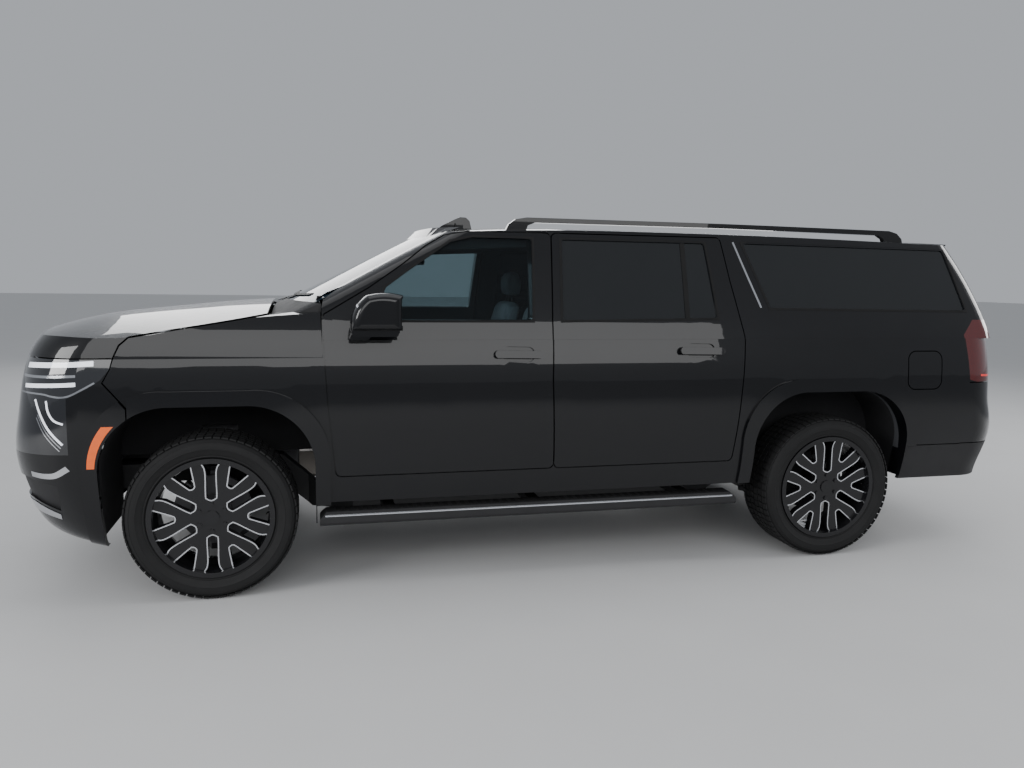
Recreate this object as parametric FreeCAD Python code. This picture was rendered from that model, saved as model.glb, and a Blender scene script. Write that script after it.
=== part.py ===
import FreeCAD, Part
import math
import os

# Full-size four-door suv, front towards -X, driver's side -Y, floor at Z = 0, in mm.
os.makedirs("parts", exist_ok=True)
V = FreeCAD.Vector

# Overall sizes
NOSE = -2866.5
TAIL = 2866.5
FRONT_AXLE = -1876.0
REAR_AXLE = 1530.0
TRACK_HALF = 869.0
TYRE_R = 411.0
TYRE_W = 275.0
RIM_R = 290.0
BODY_HALF = 1014.0
FLARE_OUT = 15.0
FLARE_W = 74.0
TUB_Y = 505.0
REAR_TUB_Y = 640.0

# Walls and gaps
WALL = 95.0
LIP = 22.0
SEAL = 0.4
GAP = 6.0
PLUG_GAP = 15.0
REST = 0.3
GLASS_SET = 7.0
GLASS_T = 5.0
CORNER = 26.0
PANE_CORNER = 18.0

# Levels
SILL_Z = 596.0
SHOULDER_Z = 1280.0
LAMP_TOP = 1195.0
ARCH_TOP_FRONT = 968.0
ARCH_TOP_REAR = 979.0
ARCH_HALF = 497.0
ROOF_SEAM_Y = 690.0
FLOOR_Z = 545.0
REAR_FLOOR_Z = 700.0
FLOOR_T = 30.0
FLOOR_STEP_X = 1010.0
FIREWALL_X = -1330.0

# Running gear
KINGPIN_Y = 815.0
HUB_FACE_Y = 835.0

# Body plan sections: z, half width, nose x, tail x, tail crown radius
LOWER = [
    (262, 925, -2545, 2780, 2600),
    (430, 948, -2795, 2815, 2600),
    (600, 990, -2848, 2850, 2600),
    (800, 1011, NOSE, TAIL, 2600),
    (880, BODY_HALF, -2855, 2830, 2900),
    (1000, 1012, -2836, 2800, 3400),
    (1140, 1003, -2808, 2782, 3600),
    (LAMP_TOP, 995, -2790, 2776, 3600),
    (SHOULDER_Z, 980, -2742, 2765, 3600),
]
NOSE_ROWS = [
    (LAMP_TOP, 995, -2790, 2776, 3600),
    (SHOULDER_Z, 980, -2742, 2765, 3600),
    (1375, 950, -2640, 2740, 3600),
    (1470, 917, -2480, 2705, 3600),
]
GREEN = [
    (SHOULDER_Z, 974, -1900, 2765, 3600),
    (1375, 948, -1712, 2740, 3500),
    (1470, 917, -1520, 2705, 3400),
    (1600, 872, -1262, 2650, 3200),
    (1750, 817, -965, 2570, 3000),
    (1925, 752, -610, 2460, 3000),
]
# Crown lines over the length: x, height at the centre, drop at 820 mm out
HOOD_LINE = [
    (-3000, 1205, 30),
    (-2760, 1297, 40),
    (-2423, 1378, 60),
    (-2187, 1404, 74),
    (-1946, 1430, 62),
    (-1600, 1455, 46),
    (-1000, 1474, 30),
    (1000, 1480, 30),
    (3100, 1480, 30),
]
ROOF_LINE = [
    (-2200, 1640, 45),
    (-900, 1850, 42),
    (-300, 1888, 40),
    (400, 1897, 40),
    (1400, 1890, 40),
    (2200, 1874, 40),
    (3000, 1862, 40),
]


def waterline(z, half, nose, tail, nose_r, tail_r, nose_c, tail_c, inset):
    """Closed plan section at one height: crowned nose and tail, rounded corners, plain sides."""
    w = half - inset
    ends = []
    for end, crown, corner, s in (
        (nose + inset, nose_r - inset, nose_c - inset, -1),
        (tail - inset, tail_r - inset, tail_c - inset, 1),
    ):
        cx = end - s * crown + s * math.sqrt((crown - corner) ** 2 - (w - corner) ** 2)
        a = math.atan2(w - corner, s * (cx - (end - s * crown)))
        tip = (end - s * crown + s * crown * math.cos(a), crown * math.sin(a))
        m = (a + math.pi / 2) / 2
        mid = (cx + s * corner * math.cos(m), w - corner + corner * math.sin(m))
        ends.append((end, cx, tip, mid))
    (nx, ncx, ntip, nmid), (tx, tcx, ttip, tmid) = ends

    def p(q, side):
        return V(q[0], side * q[1], z)

    edges = [
        Part.Arc(V(ncx, -w, z), p(nmid, -1), p(ntip, -1)).toShape(),
        Part.Arc(p(ntip, -1), V(nx, 0, z), p(ntip, 1)).toShape(),
        Part.Arc(p(ntip, 1), p(nmid, 1), V(ncx, w, z)).toShape(),
        Part.LineSegment(V(ncx, w, z), V(tcx, w, z)).toShape(),
        Part.Arc(V(tcx, w, z), p(tmid, 1), p(ttip, 1)).toShape(),
        Part.Arc(p(ttip, 1), V(tx, 0, z), p(ttip, -1)).toShape(),
        Part.Arc(p(ttip, -1), p(tmid, -1), V(tcx, -w, z)).toShape(),
        Part.LineSegment(V(tcx, -w, z), V(ncx, -w, z)).toShape(),
    ]
    return Part.Wire(edges)


def stack(rows, nose_r, nose_c, tail_c, inset):
    """Smooth solid through plan sections, all moved in by the same wall."""
    wires = [waterline(z, h, n, t, nose_r, tr, nose_c, tail_c, inset) for z, h, n, t, tr in rows]
    return Part.makeLoft(wires, True, False)


def under(line, inset, x0=-3000.0):
    """Everything below a crowned top surface that runs along the vehicle."""
    wires = []
    wide = 1150.0
    low = 100.0
    for x, crown, drop in line:
        r = (820.0 ** 2 + drop ** 2) / (2 * drop)
        top = crown - inset
        edge = top - (r - math.sqrt(r * r - wide * wide))
        wires.append(Part.Wire([
            Part.Arc(V(x, -wide, edge), V(x, 0, top), V(x, wide, edge)).toShape(),
            Part.LineSegment(V(x, wide, edge), V(x, wide, low)).toShape(),
            Part.LineSegment(V(x, wide, low), V(x, -wide, low)).toShape(),
            Part.LineSegment(V(x, -wide, low), V(x, -wide, edge)).toShape(),
        ]))
    return Part.makeLoft(wires, True, False)


def box(x0, x1, y0, y1, z0, z1):
    return Part.makeBox(x1 - x0, y1 - y0, z1 - z0, V(x0, y0, z0))


def rod(r, start, end):
    a = V(*start)
    d = V(*end) - a
    return Part.makeCylinder(r, d.Length, a, d)


def rounded(points, r, place):
    """Closed wire through the points, with an arc at each corner that turns by more than 20 degrees."""
    n = len(points)
    ends = []
    arcs = []
    for i in range(n):
        (ax, ay), (bx, by), (cx, cy) = points[i - 1], points[i], points[(i + 1) % n]
        l1 = math.hypot(ax - bx, ay - by)
        l2 = math.hypot(cx - bx, cy - by)
        ux, uy, vx, vy = (ax - bx) / l1, (ay - by) / l1, (cx - bx) / l2, (cy - by) / l2
        between = math.acos(max(-1.0, min(1.0, ux * vx + uy * vy)))
        turn = math.pi - between
        if r <= 0 or turn < 0.35:
            ends.append((points[i], points[i]))
            continue
        t = min(r * math.tan(turn / 2), 0.45 * min(l1, l2))
        radius = t / math.tan(turn / 2)
        bl = math.hypot(ux + vx, uy + vy)
        k = radius / math.sin(between / 2) - radius
        mid = (bx + (ux + vx) / bl * k, by + (uy + vy) / bl * k)
        start = (bx + ux * t, by + uy * t)
        stop = (bx + vx * t, by + vy * t)
        ends.append((start, stop))
        arcs.append(Part.Arc(place(*start), place(*mid), place(*stop)).toShape())
    lines = [Part.LineSegment(place(*ends[i - 1][1]), place(*ends[i][0])).toShape() for i in range(n)]
    return Part.Wire(Part.__sortEdges__(lines + arcs))


def prism(points, axis, lo, hi, r=0.0):
    """Straight block from an outline: axis 'y' takes (x, z), 'z' takes (x, y), 'x' takes (y, z)."""
    place = {
        "y": lambda a, b: V(a, lo, b),
        "z": lambda a, b: V(a, b, lo),
        "x": lambda a, b: V(lo, a, b),
    }[axis]
    way = {"x": V(hi - lo, 0, 0), "y": V(0, hi - lo, 0), "z": V(0, 0, hi - lo)}[axis]
    return Part.Face(rounded(points, r, place)).extrude(way)


def grown(points, d):
    """The same outline moved outwards by d, with sharp corners."""
    n = len(points)
    following = points[1:] + points[:1]
    area = sum(p[0] * q[1] - q[0] * p[1] for p, q in zip(points, following))
    s = 1.0 if area > 0 else -1.0
    out = []
    for i in range(n):
        (ax, ay), (bx, by), (cx, cy) = points[i - 1], points[i], points[(i + 1) % n]
        l1 = math.hypot(bx - ax, by - ay)
        l2 = math.hypot(cx - bx, cy - by)
        n1 = (s * (by - ay) / l1, -s * (bx - ax) / l1)
        n2 = (s * (cy - by) / l2, -s * (cx - bx) / l2)
        k = d / (1 + n1[0] * n2[0] + n1[1] * n2[1])
        out.append((bx + k * (n1[0] + n2[0]), by + k * (n1[1] + n2[1])))
    return out


def mirrored(shape):
    return shape.mirror(V(0, 0, 0), V(0, 1, 0))


def one(shapes):
    first = shapes[0]
    return first.fuse(shapes[1:]).removeSplitter() if len(shapes) > 1 else first


def save(node, shape):
    shape.exportStep("parts/" + node + ".step")


def save_pair(node, shape):
    save(node, Part.makeCompound([shape, mirrored(shape)]))


# Body zones: below the shoulder, the cabin above it, and the nose above the lamps, each moved in by a wall
ZONES = {}


def mass(zone, inset):
    if (zone, inset) not in ZONES:
        if zone == "low":
            solid = stack(LOWER, 3600.0, 330.0, 230.0, inset)
        elif zone == "up":
            solid = stack(GREEN, 2400.0, 130.0, 110.0, inset).common(under(ROOF_LINE, inset))
        else:
            solid = stack(NOSE_ROWS, 3600.0, 330.0, 230.0, inset)
            solid = solid.common(box(-3100, FIREWALL_X, -1100, 1100, LAMP_TOP - 10, 1600))
            solid = solid.common(under(HOOD_LINE, inset))
        ZONES[(zone, inset)] = solid
    return ZONES[(zone, inset)]


SHELLS = {}


def shell(zone, inner, outer):
    """The layer of a zone that lies between two depths."""
    if (zone, inner, outer) not in SHELLS:
        SHELLS[(zone, inner, outer)] = mass(zone, outer).cut(mass(zone, inner))
    return SHELLS[(zone, inner, outer)]


def bed(block, depth, zones=("low", "up")):
    """All of a block that lies outside a depth of the body, to cut a recess with."""
    for zone in zones:
        block = block.cut(mass(zone, depth))
    return block


def skin(block, inner, outer=0.0, zones=("low", "up")):
    """The part of a block that lies between two depths of the body."""
    parts = [block.common(shell(z, inner, outer)) for z in zones]
    parts = [p for p in parts if p.Solids]
    return parts[0].fuse(parts[1]) if len(parts) > 1 else parts[0]


# Side outlines (x, z)
FRONT_DOOR = [
    (-1276, SILL_Z), (-146, SILL_Z), (-163, 1072), (-156, 1372), (-128, 1838), (-580, 1836),
    (-700, 1815), (-800, 1757), (-925, 1660), (-1100, 1538), (-1290, 1425), (-1333, 1400),
    (-1331, 1311), (-1314, 990),
]
REAR_DOOR = [
    (-138, SILL_Z), (899, SILL_Z), (917, 775), (940, 1056), (956, 1292), (936, 1396),
    (899, 1604), (869, 1838), (-120, 1838), (-148, 1372), (-155, 1072),
]
FRONT_PLUG = [
    (-1240, 640), (-220, 640), (-235, 1072), (-230, 1372), (-205, 1795), (-560, 1795),
    (-690, 1772), (-790, 1712), (-925, 1612), (-1100, 1492), (-1285, 1385), (-1295, 1311),
    (-1275, 990),
]
REAR_PLUG = [
    (-60, 640), (850, 640), (868, 775), (890, 1056), (900, 1292), (885, 1396), (850, 1604),
    (822, 1795), (-45, 1795), (-70, 1372), (-80, 1072),
]
FRONT_WINDOW = [
    (-1085, 1378), (-262, 1378), (-236, 1808), (-560, 1806), (-677, 1778), (-903, 1625),
    (-1016, 1545),
]
REAR_WINDOW = [
    (-93, 1378), (800, 1393), (768, 1808), (-66, 1808),
]
QUARTER_WINDOW = [
    (1140, 1448), (2440, 1440), (2350, 1800), (1010, 1812),
]
FENDER = [
    (-2230, 964), (-2330, 1087), (-2297, 1150), (-2283, 1198), (-2256, 1256), (-2217, 1292),
    (-1600, 1398), (-1345, 1428),
    (-1341, 1311), (-1324, 990), (-1286, 560), (-1420, 560), (-1420, 900),
]


def arch(xc, half, top, grow=0.0):
    """Wheel opening in side view: upright lower edges, broad round shoulders, a flat crown."""
    x0 = xc - half - grow
    x1 = xc + half + grow
    t = top + grow
    shoulder = t - 330.0
    flat = 190.0
    k = 0.29

    def bend(xa, xb):
        return Part.Arc(V(xa, 0, shoulder), V(xa + (xb - xa) * k, 0, shoulder + (t - shoulder) * 0.71),
                        V(xb, 0, t)).toShape()

    edges = [
        Part.LineSegment(V(x0, 0, 200), V(x0, 0, shoulder)).toShape(),
        bend(x0, xc - flat),
        Part.LineSegment(V(xc - flat, 0, t), V(xc + flat, 0, t)).toShape(),
        bend(x1, xc + flat),
        Part.LineSegment(V(x1, 0, shoulder), V(x1, 0, 200)).toShape(),
        Part.LineSegment(V(x1, 0, 200), V(x0, 0, 200)).toShape(),
    ]
    return Part.Face(Part.Wire(Part.__sortEdges__(edges)))


def arch_block(xc, half, top, y0, y1, grow=0.0):
    face = arch(xc, half, top, grow)
    face.translate(V(0, y0, 0))
    return face.extrude(V(0, y1 - y0, 0))


FRONT_ARCH = arch_block(FRONT_AXLE, ARCH_HALF, ARCH_TOP_FRONT, -1200, -TUB_Y)
REAR_ARCH = arch_block(REAR_AXLE, ARCH_HALF, ARCH_TOP_REAR, -1200, -REAR_TUB_Y)


def flare(xc, top):
    ring = arch_block(xc, ARCH_HALF, top, -1200, -700, FLARE_W)
    return skin(ring.cut(arch_block(xc, ARCH_HALF, top, -1200, -700)), LIP, -FLARE_OUT, ("low",))


def side_block(outline, grow=0.0, r=0.0):
    return prism(grown(outline, grow) if grow else outline, "y", -1200, -ROOF_SEAM_Y - 8, r)


# Doors: an outer lip that meets its neighbours, a thick plug inside the opening, and a strap handle
# that stands on two feet over a shallow cup
HANDLE_PROUD = 30.0
HANDLE_T = 16.0
CUP = 9.0


def door(outline, plug, window, handle_x, handle_z):
    body = skin(side_block(outline, 0.0, CORNER), LIP).fuse(skin(side_block(plug), WALL))
    light = side_block(window, 0.0, PANE_CORNER)
    x0, x1 = handle_x
    strap = [(x0, handle_z), (x1, handle_z - 4), (x1, handle_z + 34), (x0, handle_z + 38)]
    c0, c1 = x0 + 45, x1 - 45
    cup = [(c0, handle_z - 20), (c1, handle_z - 24), (c1, handle_z + 52), (c0, handle_z + 56)]
    feet = [box(a, a + 34, -1200, -700, handle_z + 6, handle_z + 28) for a in (x0 + 6, x1 - 40)]
    grip = skin(side_block(strap, 0.0, 16.0), HANDLE_T - HANDLE_PROUD, -HANDLE_PROUD, ("low",))
    grip = grip.fuse([skin(foot, LIP / 2, HANDLE_T - HANDLE_PROUD - 1, ("low",)) for foot in feet])
    hollow = bed(side_block(cup, 0.0, 36.0), CUP, ("low",))
    return body.cut([light, hollow]).fuse(grip), skin(light, GLASS_SET + GLASS_T, GLASS_SET, ("up",))


front_door, front_glass = door(FRONT_DOOR, FRONT_PLUG, FRONT_WINDOW, (-473, -212), 1190)
rear_door, rear_glass = door(REAR_DOOR, REAR_PLUG, REAR_WINDOW, (556, 817), 1202)
for side, turn in (("left", lambda s: s), ("right", mirrored)):
    save("front_door_" + side, turn(front_door))
    save("rear_door_" + side, turn(rear_door))
    save("front_door_glass_" + side, turn(front_glass))
    save("rear_door_glass_" + side, turn(rear_glass))

# Rear outlines (y, z) and the lamp and bumper regions they share
GATE = [
    (-700, 838), (700, 838), (765, 930), (770, 1400), (757, 1500), (700, 1740), (655, 1960),
    (-655, 1960), (-700, 1740), (-757, 1500), (-770, 1400), (-765, 930),
]
GATE_PLUG = [
    (-620, 880), (620, 880), (690, 960), (700, 1400), (685, 1500), (630, 1740), (600, 1800),
    (-600, 1800), (-630, 1740), (-685, 1500), (-700, 1400), (-690, 960),
]
GATE_WINDOW = [
    (-610, 1400), (610, 1400), (560, 1660), (525, 1752), (-525, 1752), (-560, 1660),
]
GATE_X = 2336.0
TAIL_LAMP = [
    (2441, 1034), (2491, 1021), (3000, 1021), (3000, 1389), (2480, 1389), (2407, 1300),
]
REAR_BUMPER = [(2420, 649), (3000, 649), (3000, 1015), (2436, 1015)]
REAR_VALANCE = [(2036, 432), (3000, 432), (3000, 643), (2420, 643), (2414, 640), (2036, 640)]

# Body sides: pillars, sills, roof edge and rear quarter
SIDE_REGION = [
    (-1338, 455), (2050, 455), (2050, 646), (2414, 646), (2424, 655), (2440, 1021), (3000, 1021),
    (3000, 1960), (-700, 1960), (-1330, 1475), (-1338, 1440),
]
side = skin(prism(SIDE_REGION, "y", -1200, -ROOF_SEAM_Y), WALL)
for outline, plug in ((FRONT_DOOR, FRONT_PLUG), (REAR_DOOR, REAR_PLUG)):
    side = side.cut(bed(side_block(outline, GAP, CORNER + GAP), LIP + SEAL))
    side = side.cut(side_block(plug, PLUG_GAP))
side = side.cut(bed(prism(grown(GATE, GAP), "x", GATE_X - GAP, 3000), LIP + SEAL))
side = side.cut(prism(grown(GATE_PLUG, GAP), "x", 1800, 3000))
lamp_block = prism(TAIL_LAMP, "y", -1200, -776)
side = side.cut(lamp_block)
quarter_light = side_block(QUARTER_WINDOW, 0.0, PANE_CORNER)
SHIELD = [(-850, 1462), (850, 1462), (672, 1852), (-672, 1852)]
shield_block = prism(SHIELD, "x", -1800, -560)
shield_bed = bed(shield_block, GLASS_SET + GLASS_T, ("up",))
fender_block = side_block(FENDER)
fender_skin = skin(
    fender_block.common(box(-3000, -1000, -1300, 0, 400, LAMP_TOP)), LIP, 0.0, ("low",),
).fuse(skin(fender_block, LIP, 0.0, ("nose",)))
fender_bed = bed(fender_block, LIP, ("low",))
side = side.fuse(flare(REAR_AXLE, ARCH_TOP_REAR).common(box(900, 2100, -1200, 0, 455, 1300)))
front_ring = arch_block(FRONT_AXLE, ARCH_HALF, ARCH_TOP_FRONT, -1200, -700, FLARE_W)
rear_skirt = [prism(outline, "y", -1200, 0) for outline in (REAR_BUMPER, REAR_VALANCE)]
side = side.cut([quarter_light, REAR_ARCH, front_ring, shield_bed, fender_bed] + rear_skirt)
save("body_side_right", mirrored(side))
FUEL = [(2012, 985), (2236, 985), (2236, 1203), (2012, 1203)]
FUEL_T = 12.0
FUEL_POCKET = 60.0
FUEL_CORNER = 48.0
pocket = bed(side_block(FUEL, GAP, FUEL_CORNER + GAP), FUEL_POCKET, ("low",))
stop = skin(rod(14, (2124, -1100, 1094), (2124, -900, 1094)), FUEL_POCKET + 3, FUEL_T + REST, ("low",))
save("body_side_left", side.cut(pocket).fuse(stop))
save("fuel_door", skin(side_block(FUEL, 0.0, FUEL_CORNER), FUEL_T, 0.0, ("low",)))
save_pair("quarter_glass", skin(quarter_light, GLASS_SET + GLASS_T, GLASS_SET, ("up",)))
save_pair("taillamps", skin(lamp_block, WALL))

# Rear end
bumper = skin(prism(REAR_BUMPER, "y", -1200, 1200), LIP, 0.0, ("low",))
STEP_PAD = [(-560, 700), (560, 700), (610, 790), (-610, 790)]
step_bed = bed(prism(STEP_PAD, "x", 2300, 3000), 8, ("low",))
save("rear_bumper", bumper.cut([prism(grown(GATE, GAP), "x", 2300, 3000), step_bed]))
save("rear_valance", skin(prism(REAR_VALANCE, "y", -1200, 1200), LIP, 0.0, ("low",)))
gate = skin(prism(GATE, "x", GATE_X, 3000), LIP)
gate = gate.fuse(skin(prism(GATE_PLUG, "x", GATE_X + 30, 3000), WALL))
gate_light = prism(GATE_WINDOW, "x", 2300, 3000, PANE_CORNER)
PLATE_BAY = [(-300, 985), (300, 985), (270, 1185), (-270, 1185)]
plate_bay = bed(prism(PLATE_BAY, "x", 2300, 3000, 20.0), 16, ("low",))
SPOILER = [(2360, 1960), (2547, 1960), (2547, 1842), (2475, 1806), (2360, 1800)]
SPOILER_PROUD = 3.0
spoiler = prism(SPOILER, "y", -600, 600).common(under(ROOF_LINE, -SPOILER_PROUD))
save("liftgate", gate.cut([gate_light, plate_bay]).fuse(spoiler))
save("liftgate_glass", skin(gate_light, GLASS_SET + GLASS_T, GLASS_SET, ("up",)).cut(spoiler))

# Roof, windshield and cowl
roof = skin(box(-860, GATE_X - GAP, -ROOF_SEAM_Y, ROOF_SEAM_Y, 1790, 2000), WALL, 0.0, ("up",))
roof = roof.cut([prism(grown(GATE_PLUG, GAP), "x", 1800, 3000), shield_bed])
FIN = [(-645, 1880), (-412, 1880), (-428, 1944), (-452, 1964), (-490, 1966), (-548, 1938), (-600, 1912)]
FIN_PLAN = [(-700, 0), (-610, -16), (-470, -18), (-400, -9), (-400, 9), (-470, 18), (-610, 16)]
fin = prism(FIN, "y", -26, 26).common(prism(FIN_PLAN, "z", 1800, 2000))
save("roof", roof.fuse(fin.cut(mass("up", LIP))))
save("windshield", skin(shield_block, GLASS_SET + GLASS_T, GLASS_SET, ("up",)))

# Front end: the hood wraps down to the lamps, and each lamp has an upper unit and an upright one
FRONT_SEAM = [
    (-3100, 150), (-2236, 150), (-2236, 962), (-2337, 1085), (-2303, 1147), (-2290, LAMP_TOP),
    (-3100, LAMP_TOP),
]
HOOD = [
    (-3100, LAMP_TOP + GAP), (-2289, LAMP_TOP + GAP), (-2262, 1262), (-2219, 1300),
    (-1600, 1406), (-1600, 1500), (-3100, 1500),
]
LAMP = [
    (-3100, LAMP_TOP), (-2290, LAMP_TOP), (-2303, 1147), (-2341, 1100), (-2395, 1063), (-2447, 1036),
    (-2490, 1016), (-2492, 752), (-3100, 752),
]
GRILLE_HALF = 752.0
GRILLE = [(-GRILLE_HALF + 60, 800), (GRILLE_HALF - 60, 800), (GRILLE_HALF, 870), (GRILLE_HALF, 1189),
          (-GRILLE_HALF, 1189), (-GRILLE_HALF, 870)]
GRILLE_FRAME = 24.0
GRILLE_DEPTH = 60.0
BAR_STEP = 46.0
INTAKE = [(-3100, 640), (-2700, 632), (-2552, 596), (-2556, 468), (-2700, 520), (-3100, 530)]
SKID = [(-3100, 470), (-2700, 452), (-2560, 420), (-2560, 448), (-2690, 500), (-3100, 518)]
MARKER_Z = (684, 884)
hood = skin(prism(HOOD, "y", -1200, 1200), LIP, 0.0, ("nose",))
save("hood", hood)
LAMP_IN = GRILLE_HALF + 22.0
lamp_front = prism(LAMP, "y", -1200, -LAMP_IN)
headlamp = skin(lamp_front, WALL, 0.0, ("low",))
save_pair("headlamps", headlamp)
front_flare = flare(FRONT_AXLE, ARCH_TOP_FRONT)
ahead = prism(FRONT_SEAM, "y", -1200, 1200)
grille_block = prism(GRILLE, "x", -3000, -2560)
intake_block = prism(INTAKE, "y", -1200, 1200)
skid_block = prism(SKID, "y", -1200, 1200)
marker_block = arch_block(FRONT_AXLE, ARCH_HALF, ARCH_TOP_FRONT, -1200, -700, 42).cut(
    arch_block(FRONT_AXLE, ARCH_HALF, ARCH_TOP_FRONT, -1200, -700, 10)).common(
    box(-2600, -2150, -1200, -700, *MARKER_Z))
marker = skin(marker_block, 4 - FLARE_OUT, -FLARE_OUT - 2, ("low",))
marker_bed = bed(marker_block, 4 - FLARE_OUT, ("low",))
bumper = skin(ahead, LIP, 0.0, ("low",))
for turn in (lambda s: s, mirrored):
    bumper = bumper.fuse(turn(front_flare).common(ahead))
skid_bed = bed(skid_block, 6, ("low",))
bumper = bumper.cut([grille_block, intake_block, FRONT_ARCH, mirrored(FRONT_ARCH), lamp_front,
                     mirrored(lamp_front), marker_bed, mirrored(marker_bed), skid_bed])
save("front_bumper", bumper)
save_pair("side_markers", marker)
save("skid_strip", skin(skid_block, 6, -3.0, ("low",)))
z_bars = [876 + BAR_STEP * i for i in range(7)]
bars = [box(-3000, -2560, -GRILLE_HALF + 8, GRILLE_HALF - 8, z, z + 12) for z in z_bars]
posts = [box(-3000, -2560, y - 7, y + 7, 812, 1180) for y in (-500, -250, 0, 250, 500)]
rim = prism(GRILLE, "x", -3000, -2560).cut(prism(grown(GRILLE, -GRILLE_FRAME), "x", -3100, -2500))
mesh = skin(grille_block, GRILLE_DEPTH, LIP + 16, ("low",)).common(one(bars + posts))
save("grille", mesh.fuse(skin(rim, GRILLE_DEPTH, 4.0, ("low",))))
slats = [box(-3100, -2560, -1100, 1100, z, z + 14) for z in (500, 534, 568, 602)]
ducts = [prism([(-3100, 440), (-2540, 440), (-2540, 650), (-3100, 650)], "y", y0, y1) for y0, y1 in
         ((-1200, -700), (700, 1200))]
ribs = [box(-3100, -2500, y - 8, y + 8, 440, 650) for y in (-350, 0, 350)]
save("lower_grille", skin(intake_block, LIP + 12, 12.0, ("low",)).common(one(slats + ducts + ribs)))
behind = box(-2236 + GAP, -1300, -1200, -600, 440, 1300)
fender = fender_skin.fuse(front_flare.common(behind)).cut([FRONT_ARCH, lamp_front])
save_pair("front_fenders", fender)

# Floor, firewall, cowl and wheel tubs
cabin = mass("low", WALL)
floor = box(FIREWALL_X, FLOOR_STEP_X, -1000, 1000, FLOOR_Z, FLOOR_Z + FLOOR_T)
step = box(FLOOR_STEP_X - FLOOR_T, FLOOR_STEP_X, -1000, 1000, FLOOR_Z, REAR_FLOOR_Z + FLOOR_T)
back = box(FLOOR_STEP_X, 2700, -1000, 1000, REAR_FLOOR_Z, REAR_FLOOR_Z + FLOOR_T)
firewall = box(FIREWALL_X - FLOOR_T, FIREWALL_X, -1000, 1000, FLOOR_Z, 1270)
floor = one([s.common(cabin) for s in (floor, step, back, firewall)])
tub_skin = arch_block(REAR_AXLE, ARCH_HALF, ARCH_TOP_REAR, -1000, -REAR_TUB_Y + 12, 12.0).common(cabin)
tub_skin = tub_skin.cut(arch_block(REAR_AXLE, ARCH_HALF, ARCH_TOP_REAR, -1100, -REAR_TUB_Y))
tub_skin = tub_skin.cut([
    box(-3000, 3000, -1100, 0, 0, 455),
    box(REAR_AXLE - 110, REAR_AXLE + 110, -700, 0, 0, 620),
])
floor = floor.cut([arch_block(REAR_AXLE, ARCH_HALF, ARCH_TOP_REAR, -1100, -REAR_TUB_Y),
                   mirrored(arch_block(REAR_AXLE, ARCH_HALF, ARCH_TOP_REAR, -1100, -REAR_TUB_Y))])
floor = floor.fuse([tub_skin, mirrored(tub_skin)])
save("floor", floor)
COWL = [(-1590, 1345), (-1340, 1345), (-1340, 1455), (-1590, 1500)]
cowl = skin(prism(COWL, "y", -900, 900), WALL, 0.0, ("up",)).cut(
    [shield_bed, fender_skin, mirrored(fender_skin)])
save("cowl", cowl)
liner = arch_block(FRONT_AXLE, ARCH_HALF, ARCH_TOP_FRONT, -990, -TUB_Y, 5.0).cut(
    arch_block(FRONT_AXLE, ARCH_HALF, ARCH_TOP_FRONT, -1100, 0)).common(mass("low", LIP))
inner = arch_block(FRONT_AXLE, ARCH_HALF, ARCH_TOP_FRONT, -TUB_Y, -TUB_Y + 5, 5.0).cut(
    box(-3000, 0, -1000, 0, 0, 640)).cut(box(FRONT_AXLE - 90, FRONT_AXLE + 90, -1000, 0, 0, 790))
liner = liner.fuse(inner).cut(box(-3000, 0, -1000, 0, 0, 330))
save_pair("arch_liners", liner)

# Ladder frame
RAIL_PLAN = [
    (-2640, -430), (-1420, -430), (-1180, -560), (820, -560), (1010, -500), (2680, -500),
    (2680, -410), (1030, -410), (800, -460), (-1160, -460), (-1400, -340), (-2640, -340),
]
RAIL_SIDE = [
    (-2640, 440), (-2300, 440), (-2200, 470), (-1600, 470), (-1400, 300), (1000, 300), (1250, 470),
    (1820, 470), (2050, 440), (2680, 440), (2680, 560), (2080, 560), (1850, 600), (1220, 600),
    (960, 430), (-1370, 430), (-1560, 600), (-2220, 600), (-2300, 570), (-2640, 570),
]
rail = prism(RAIL_PLAN, "z", 100, 900).common(prism(RAIL_SIDE, "y", -700, -100))
cross = [
    (-2600, 450, 560), (-1240, 320, 410), (-300, 320, 410), (700, 320, 410), (1780, 480, 560),
    (2625, 450, 550),
]
frame = [rail, mirrored(rail)]
frame += [box(x - 35, x + 35, -470, 470, z0, z1) for x, z0, z1 in cross]
frame += [box(x - 40, x + 40, y - 40, y + 40, 430, FLOOR_Z) for x in (-1000, 0, 780) for y in (-510, 510)]
frame += [box(x - 40, x + 40, y - 40, y + 40, 540, REAR_FLOOR_Z) for x in (1500, 2500) for y in (-455, 455)]
beam = box(-2640, -2600, -600, 600, 450, 560)
HITCH = 25.5
hitch_z = 395.0
tube = box(2590, 2790, -HITCH - 6, HITCH + 6, hitch_z - HITCH - 6, hitch_z + HITCH + 6)
tube = tube.cut(box(2650, 2800, -HITCH, HITCH, hitch_z - HITCH, hitch_z + HITCH))
HITCH_PIN_R = 8.0
tube = tube.cut(rod(HITCH_PIN_R, (2720, -60, hitch_z), (2720, 60, hitch_z)))
hanger = box(2590, 2650, -90, 90, hitch_z - HITCH - 6, 470)
save("frame", one(frame + [beam, hanger, box(2600, 2650, -620, 620, 450, 550)]).fuse(tube))

# Radiator support and the rubber stops that the closed hood rests on
support = box(-2580, -2520, -620, 620, 470, 540)
uprights = [box(-2570, -2530, y - 20, y + 20, 500, 1200) for y in (-600, 600)]
core = box(-2565, -2535, -590, 590, 530, 1160)
stops = [
    rod(12, (-2550, y, LAMP_TOP + 1), (-2550, y, 1400)).common(mass("nose", LIP + SEAL))
    for y in (-600, 600)
]
save("radiator_support", one(
    [support, core, box(-2580, -2520, -640, 640, 1150, 1200)] + uprights + stops).cut(one(frame)))

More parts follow.
